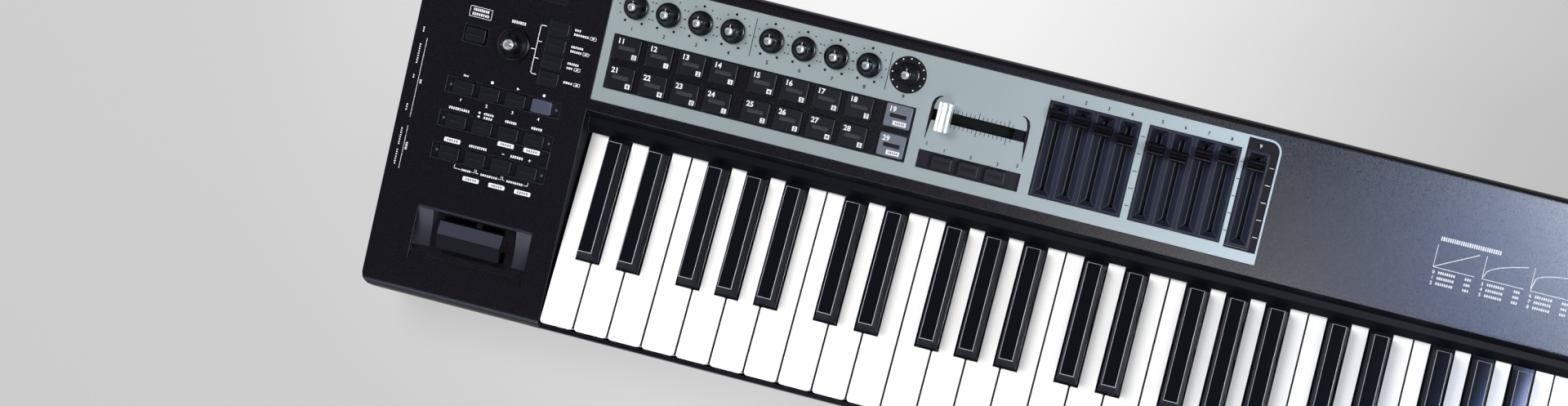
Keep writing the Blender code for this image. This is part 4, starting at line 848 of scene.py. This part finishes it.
ink("plate_ink", marks, "chassis", "plate", ink_black)
print(len(marks), "marks on the plate")
marks = [disc(knob_x[8], KNOB_ROW, 12.3, 48)]
ink("knob_field", marks, "chassis", "case", ink_black)

# %% [markdown]
# The black field round the ninth fader leaves a silver edge on its outer side and has a window for
# the trench. It is built as strips round the window, with the plate's own corner.

# %% The black field of the ninth fader
FIELD_LEFT, FIELD_RIGHT, FIELD_FRONT, FIELD_REAR, FIELD_CORNER = 428.0, 449.3, 160.2, 233.6, 6.7
middle = (FIELD_RIGHT - FIELD_CORNER, FIELD_REAR - FIELD_CORNER)
arc = [math.pi / 2 * i / 8 for i in range(1, 9)]
corner = [(FIELD_RIGHT, middle[1])]
corner += [(middle[0] + FIELD_CORNER * math.cos(a), middle[1] + FIELD_CORNER * math.sin(a))
           for a in arc]
window_left, window_right, WINDOW_REAR = fader_x[8] - 7.8, fader_x[8] + 7.8, 225.7
marks = [
    [(FIELD_LEFT, WINDOW_REAR), (FIELD_RIGHT, WINDOW_REAR), *corner, (FIELD_LEFT, FIELD_REAR)],
    bar((FIELD_LEFT + window_left) / 2, 193.6, window_left - FIELD_LEFT, 64.2),
    bar((window_right + FIELD_RIGHT) / 2, 193.6, FIELD_RIGHT - window_right, 64.2),
    bar((FIELD_LEFT + FIELD_RIGHT) / 2, FIELD_FRONT + 0.7, FIELD_RIGHT - FIELD_LEFT, 1.4),
]
ink("fader_field", marks, "chassis", "case", ink_black)
marks = [numeral(9, fader_x[8], FADER_NUMERALS, 2.2)]
ink("field_ink", marks, "chassis", "white", ink_white, OVER_LOW, 0.08)
print("field of the ninth fader")

# %% [markdown]
# ### Marks that repeat
# Each knob has the same ring of dots, and the faders have rows of ticks. Geometry Nodes make one
# ring from an arc and copy it to every knob, so that a new radius or a new count changes them all.

# %% Building a tree of nodes
def new_tree(name, **sockets):
    """A tree with a material and these inputs, and its first and last node."""
    tree = bpy.data.node_groups.new(name, "GeometryNodeTree")
    tree.interface.new_socket("Geometry", in_out="INPUT", socket_type="NodeSocketGeometry")
    for label, kind in {"Material": "Material", **sockets}.items():
        label = label.replace("_", " ")
        tree.interface.new_socket(label, in_out="INPUT", socket_type="NodeSocket" + kind)
    tree.interface.new_socket("Geometry", in_out="OUTPUT", socket_type="NodeSocketGeometry")
    return tree, tree.nodes.new("NodeGroupInput"), tree.nodes.new("NodeGroupOutput")


def at_points(tree, points, shape):
    """Puts a shape at each point."""
    made = add_node(tree, "InstanceOnPoints")
    wire(tree, (points, made.inputs["Points"]), (shape, made.inputs["Instance"]))
    return made.outputs[0]


def finish_tree(tree, start, end, shape):
    """Puts the shape at each place, makes the copies real and gives them the material."""
    real = add_node(tree, "RealizeInstances")
    paint = add_node(tree, "SetMaterial")
    wire(tree, (at_points(tree, start.outputs["Geometry"], shape), real.inputs[0]),
         (real.outputs[0], paint.inputs["Geometry"]),
         (start.outputs["Material"], paint.inputs["Material"]), (paint.outputs[0], end.inputs[0]))


def grow(name, tree, points, slot, material, matrix=panel, **values):
    """Runs a tree on loose points, and adds the plain mesh that it makes to the case."""
    mesh = bpy.data.meshes.new(tree.name)
    mesh.from_pydata(points, [], [])
    seed = bpy.data.objects.new(tree.name, mesh)
    modifier = seed.modifiers.new(tree.name, "NODES")
    modifier.node_group = tree
    values["material"] = material
    for item in tree.interface.items_tree:
        key = item.name.replace(" ", "_").lower()
        if item.in_out == "INPUT" and key in values:
            modifier[item.identifier] = values[key]
    piece(name, settled(seed, matrix), "chassis", slot, None)


print("trees grow at loose points")

# %% A ring of dots
ring_tree, start, end = new_tree(
    "ring of dots", Radius="Float", Dots="Int", Dot_Radius="Float", Thickness="Float",
    Start_Angle="Float", Sweep_Angle="Float")
arc = add_node(ring_tree, "CurveArc")
dot = add_node(ring_tree, "MeshCylinder", Vertices=10)
given = start.outputs
wire(ring_tree, (given["Radius"], arc.inputs["Radius"]), (given["Dots"], arc.inputs["Resolution"]),
     (given["Start Angle"], arc.inputs["Start Angle"]),
     (given["Sweep Angle"], arc.inputs["Sweep Angle"]),
     (given["Dot Radius"], dot.inputs["Radius"]), (given["Thickness"], dot.inputs["Depth"]))
finish_tree(ring_tree, start, end, at_points(ring_tree, arc.outputs[0], dot.outputs[0]))
ON_PANEL, ON_FIELD, INK_THICK = 0.025, 0.065, 0.03
arc_of = {"start_angle": math.radians(-60), "sweep_angle": math.radians(300)}
eight = [(x, KNOB_ROW, ON_PANEL) for x in knob_x[:8]]
ninth = [(knob_x[8], KNOB_ROW, ON_FIELD)]
for name, places, slot, material, radius, dots, dot_radius in (
    ("knob_dots", eight, "plate", ink_black, 11.4, 11, 0.52),
    ("knob_end_dots", eight, "plate", ink_black, 11.4, 3, 0.92),
    ("field_dots", ninth, "white", ink_white, 10.7, 11, 0.5),
):
    grow(name, ring_tree, places, slot, material, radius=radius, dots=dots,
         dot_radius=dot_radius, thickness=INK_THICK, **arc_of)
print("rings of dots round nine knobs")

# %% A row of ticks
tick_tree, start, end = new_tree("row of ticks", Count="Int", Step="Vector", Size="Vector")
row = add_node(tick_tree, "MeshLine")
tick = add_node(tick_tree, "MeshCube")
given = start.outputs
wire(tick_tree, (given["Count"], row.inputs["Count"]), (given["Step"], row.inputs["Offset"]),
     (given["Size"], tick.inputs["Size"]))
finish_tree(tick_tree, start, end, at_points(tick_tree, row.outputs[0], tick.outputs[0]))
SCALE_TOP, DOWN = 216.8, (0, -11.525, 0)
for name, places, lift, slot, material, count, step, size in (
    ("fader_ticks", [(360.85, SCALE_TOP), (427.2, SCALE_TOP)], ON_PANEL, "plate", ink_black, 5,
     DOWN, (3.0, 0.45)),
    ("field_ticks", [(446.6, SCALE_TOP)], ON_FIELD, "white", ink_white, 5, DOWN, (3.2, 0.45)),
    ("cross_ticks", [(234.0, 202.9), (234.0, 193.1)], ON_PANEL, "plate", ink_black, 16,
     (2.87, 0, 0), (0.4, 2.4)),
    ("cross_long_ticks", [(254.1, 203.8), (254.1, 192.2)], ON_PANEL, "plate", ink_black, 2,
     (20.1, 0, 0), (0.45, 4.4)),
):
    grow(name, tick_tree, [(*place, lift) for place in places], slot, material, count=count,
         step=step, size=(*size, INK_THICK))
print("rows of ticks")

# %% [markdown]
# ### Ink on the pads
# Each pad has a number in its upper left corner and a small white square with a digit in its lower
# right corner. The last two pads have a white bar instead of the square. All move with the pads.

# %% Ink on the pads
for group, first, count in (("left", 0, 4), ("middle", 4, 4), ("right", 8, 1)):
    white, dark = [], []
    for i in range(first, first + count):
        x = knob_x[i]
        for line, s in enumerate(pad_rows):
            white += [numeral(11 + i + 10 * line, x - 4.5, s + 4.3, 3.5)]
            if group == "right":
                white += [bar(x + 1.9, s - 4.7, 9.0, 3.0)]
                dark += label(x + 1.9, s - 4.7, 6.6, 1.4)
            else:
                white += [bar(x + 5.9, s - 4.8, 3.2, 3.2)]
                dark += [numeral((i + 8 * line) % 10, x + 5.9, s - 4.8, 2.2)]
    dark_ink = ink_grey if group == "right" else ink_black
    ink(f"pad_ink_{group}", white, f"pads_{group}", "white", ink_white,
        PAD_TOP + INK_LOW, PAD_TOP + INK_HIGH)
    ink(f"pad_digits_{group}", dark, f"pads_{group}", "button", dark_ink,
        PAD_TOP + OVER_LOW, PAD_TOP + OVER_HIGH)
print("ink on eighteen pads")

# %% [markdown]
# ## Pointers
# A short white line on each knob shows where it points.

# %% Pointers
pointer = [(KNOB_ROW + a, h) for a, h in ((3.2, 9.75), (4.3, 9.2), (4.4, 9.6), (3.3, 10.15))]
for i, x in enumerate(knob_x, 1):
    bm = bmesh.new()
    add_prism(bm, pointer, x - 0.35, x + 0.35, axis="x")
    solid(bm, f"knob_pointer_{i}", f"knob_body_{i}", "white", ink_white)
print("nine pointers")

# %% [markdown]
# ## Sockets
# The sockets in the left side take a power plug, a data plug, two five-pin plugs and two pedal
# plugs. Metal rings, pins and a tongue make them readable from the side.

# %% Sockets
CASE_LEFT, SOCKETS_UP = -414.5, 40
left_side = Matrix(
    ((0, 0, 1, CASE_LEFT), (1, 0, 0, KEYS_FRONT), (0, 1, 0, SOCKETS_UP), (0, 0, 0, 1)))
side = world_mm @ left_side
POWER, DATA, FIVE_PIN, PEDALS, PIN_CIRCLE = 212, 171, (139, 118), (98, 82), 3.3


def ring_prism(bm, centre, outer_r, inner_r, low, high, sides=32):
    """A flat ring in the side's space, whose first number runs back, second up and third in."""
    rows = []
    for radius, depth in ((outer_r, low), (outer_r, high), (inner_r, high), (inner_r, low)):
        rows.append([
            bm.verts.new(side @ Vector((
                centre + radius * math.cos(math.tau * i / sides),
                radius * math.sin(math.tau * i / sides), depth)))
            for i in range(sides)])
    for a, b in zip(rows, rows[1:] + rows[:1]):
        for i in range(sides):
            j = (i + 1) % sides
            bm.faces.new((a[i], a[j], b[j], b[i]))


bm = bmesh.new()
for back in PEDALS:
    ring_prism(bm, back, 5.2, 3.35, -0.35, 0.38)
ring_prism(bm, POWER, 4.4, 3.3, 0.1, 0.38)
solid(bm, "socket_rings", "chassis", "plate", screw_steel, outward=True)
bm = bmesh.new()
for back in FIVE_PIN:
    for k in range(5):
        a = math.radians(180 - 45 * k) + math.pi
        spot = (back + PIN_CIRCLE * math.cos(a), PIN_CIRCLE * math.sin(a))
        add_prism(bm, disc(*spot, 0.6, 10), 3.0, 5.3, side)
add_prism(bm, disc(POWER, 0, 0.8, 12), 1.0, 9.7, side)
solid(bm, "socket_pins", "chassis", "plate", contact_gold, outward=True)
bm = bmesh.new()
add_prism(bm, bar(DATA, 0.4, 5.4, 3.0), 1.2, 9.7, side)
solid(bm, "socket_tongue", "chassis", "white", cap_white, outward=True)
print("six sockets")

# %% [markdown]
# ## Screws underneath
# The tray is held by a dozen screws. One head, with its cross cut out, is copied to every place.

# %% Screws underneath
screw_tree, start, end = new_tree("screw heads", Radius="Float", Height="Float", Cross="Vector")
head = add_node(screw_tree, "MeshCylinder", Vertices=20)
groove = add_node(screw_tree, "MeshCube")
lower = add_node(screw_tree, "Transform", Translation=(0, 0, -0.5))
crossing = add_node(screw_tree, "Transform", Rotation=(0, 0, math.pi / 2))
cut = add_node(screw_tree, "MeshBoolean")
cut.operation = "DIFFERENCE"
given = start.outputs
wire(screw_tree, (given["Radius"], head.inputs["Radius"]), (given["Height"], head.inputs["Depth"]),
     (given["Cross"], groove.inputs["Size"]), (groove.outputs[0], lower.inputs[0]),
     (lower.outputs[0], crossing.inputs[0]), (head.outputs[0], cut.inputs[0]),
     (lower.outputs[0], cut.inputs[1]), (crossing.outputs[0], cut.inputs[1]))
finish_tree(screw_tree, start, end, cut.outputs[0])
SCREW_UP = 3.55
places = [(x, y, SCREW_UP) for x in (-340, -170, 0, 170, 340) for y in (-108, 108)]
places += [(-250, 0, SCREW_UP), (250, 0, SCREW_UP)]
grow("screw_heads", screw_tree, places, "plate", screw_steel, world_mm, radius=3.1, height=0.8,
     cross=(3.6, 0.7, 0.6))
print(len(places), "screws")

# %% [markdown]
# ## Light, floor and background
# The photograph was lit by large soft lamps and cut out on a pale grey, lightest above the middle.
# A key light from the left and a fill from the front give the colours. They are hidden from
# reflections. A second set of lamps is seen only in reflections: the satin case shows each of
# them as a soft sheen, and where that sheen falls depends on the lamp's place above the keys.
# The pale walls and the pale floor are a background: the camera sees them, and so do metal and
# glass, but they send no light of their own onto the keys.

# %% World
def seen_rays(tree):
    """One for rays from the camera and rays that metal and glass send on, and nought for light."""
    path_of = add_node(tree, "LightPath")
    total = path_of.outputs["Is Camera Ray"]
    for kind in ("Is Glossy Ray", "Is Transmission Ray"):
        add = add_node(tree, "Math")
        add.use_clamp = True
        wire(tree, (total, add.inputs[0]), (path_of.outputs[kind], add.inputs[1]))
        total = add.outputs[0]
    return total


world = bpy.data.worlds.new("studio")
bpy.context.scene.world = world
world.use_nodes = True
tree = world.node_tree
sky = tree.nodes["Background"]
sky.inputs["Color"].default_value = (0.80, 0.86, 1.0, 1)
sky.inputs["Strength"].default_value = 0.05
wall = add_node(tree, "Background", Color=(0.60, 0.60, 0.60, 1))
toward = add_node(tree, "TexCoord")
height = add_node(tree, "SeparateXYZ")
low_down = add_node(tree, "MapRange", From_Min=0.25, From_Max=0.40, To_Min=1.0, To_Max=0.0)
both = add_node(tree, "Math")
both.operation = "MULTIPLY"
either = add_node(tree, "MixShader")
wire(tree, (toward.outputs["Generated"], height.inputs[0]),
     (height.outputs["Z"], low_down.inputs["Value"]), (low_down.outputs["Result"], both.inputs[0]),
     (seen_rays(tree), both.inputs[1]), (both.outputs[0], either.inputs[0]),
     (sky.outputs[0], either.inputs[1]), (wall.outputs[0], either.inputs[2]),
     (either.outputs[0], tree.nodes["World Output"].inputs["Surface"]))
print("a dim ceiling above pale walls")

# %% Lamps
WHITE, BLUISH = (1, 1, 1), (0.70, 0.80, 1.0)
for name, place, aim, size, power, colour in (
    ("key_light", (-0.75, 0.35, 1.2), (-0.05, 0, 0.06), (0.7, 0.7), 21, WHITE),
    ("front_fill", (0.4, -1.3, 1.4), (0, 0, 0.06), (1.4, 0.9), 25, WHITE),
    ("sheen", (0.97, -0.03, 1.5), (0.4, 0.08, 0.08), (0.5, 0.4), 57, (0.90, 0.98, 1.0)),
    ("blue_sheen", (0.6, -0.2, 1.5), (0.3, 0, 0.08), (0.5, 0.3), 4.4, (0.08, 0.25, 1.0)),
    ("plate_sheen", (0.16, -0.48, 1.45), (0.1, 0, 0.08), (0.35, 0.25), 2.0, (1.0, 0.95, 0.86)),
    ("glint", (0.62, -0.07, 1.5), (0.35, -0.03, 0.08), (0.22, 0.10), 0.8, WHITE),
    ("right_box", (1.3, 0.0, 0.42), (0, 0, 0.06), (1.6, 0.45), 8, BLUISH),
    ("left_box", (-1.3, 0.0, 0.42), (0, 0, 0.06), (1.6, 0.45), 4, BLUISH),
    ("front_box", (-0.65, -1.3, 0.8), (-0.35, -0.08, 0.08), (1.0, 0.5), 4, BLUISH),
):
    data = bpy.data.lights.new(name, "AREA")
    data.shape = "RECTANGLE"
    data.size, data.size_y = size
    data.energy = power
    data.color = colour
    made = bpy.data.objects.new(name, data)
    made.location = place
    made.rotation_euler = (Vector(aim) - Vector(place)).to_track_quat("-Z", "Y").to_euler()
    made.visible_diffuse = name in ("key_light", "front_fill")
    made.visible_glossy = not made.visible_diffuse
    bpy.context.scene.collection.objects.link(made)
print("nine lamps")

# %% Floor
floor_mesh = bpy.data.meshes.new("floor")
HALF = 6
corners = [(-HALF, -HALF, 0), (HALF, -HALF, 0), (HALF, HALF, 0), (-HALF, HALF, 0)]
floor_mesh.from_pydata(corners, [], [(0, 1, 2, 3)])
floor = bpy.data.objects.new("floor", floor_mesh)
bpy.context.scene.collection.objects.link(floor)
paper = bpy.data.materials.new("floor_paper")
paper.use_nodes = True
tree = paper.node_tree
output = tree.nodes["Material Output"]
shader = tree.nodes["Principled BSDF"]
shader.inputs["Base Color"].default_value = (0.62, 0.62, 0.62, 1)
shader.inputs["Roughness"].default_value = 0.9
# The floor's glow is a painted pool of light, brightest round one spot and fading outwards, seen
# only by the camera and in reflections.
where = add_node(tree, "TexCoord")
shift = add_node(tree, "Mapping", Location=(0.13, -0.20, 0))
far = add_node(tree, "VectorMath")
far.operation = "LENGTH"
fall = add_node(tree, "MapRange", From_Min=0.0, From_Max=0.52, To_Min=1.02, To_Max=0.56)
fall.interpolation_type = "SMOOTHSTEP"
glow = add_node(tree, "Emission")
share = add_node(tree, "Math")
share.operation = "MULTIPLY"
share.inputs[1].default_value = 0.8
mix = add_node(tree, "MixShader")
wire(tree, (where.outputs["Object"], shift.inputs["Vector"]), (shift.outputs[0], far.inputs[0]),
     (far.outputs["Value"], fall.inputs["Value"]),
     (fall.outputs["Result"], glow.inputs["Strength"]),
     (seen_rays(tree), share.inputs[0]), (share.outputs[0], mix.inputs[0]),
     (shader.outputs[0], mix.inputs[1]), (glow.outputs[0], mix.inputs[2]),
     (mix.outputs[0], output.inputs["Surface"]))
floor_mesh.materials.append(paper)
bpy.context.scene.view_settings.view_transform = "Standard"
print("a pale floor")
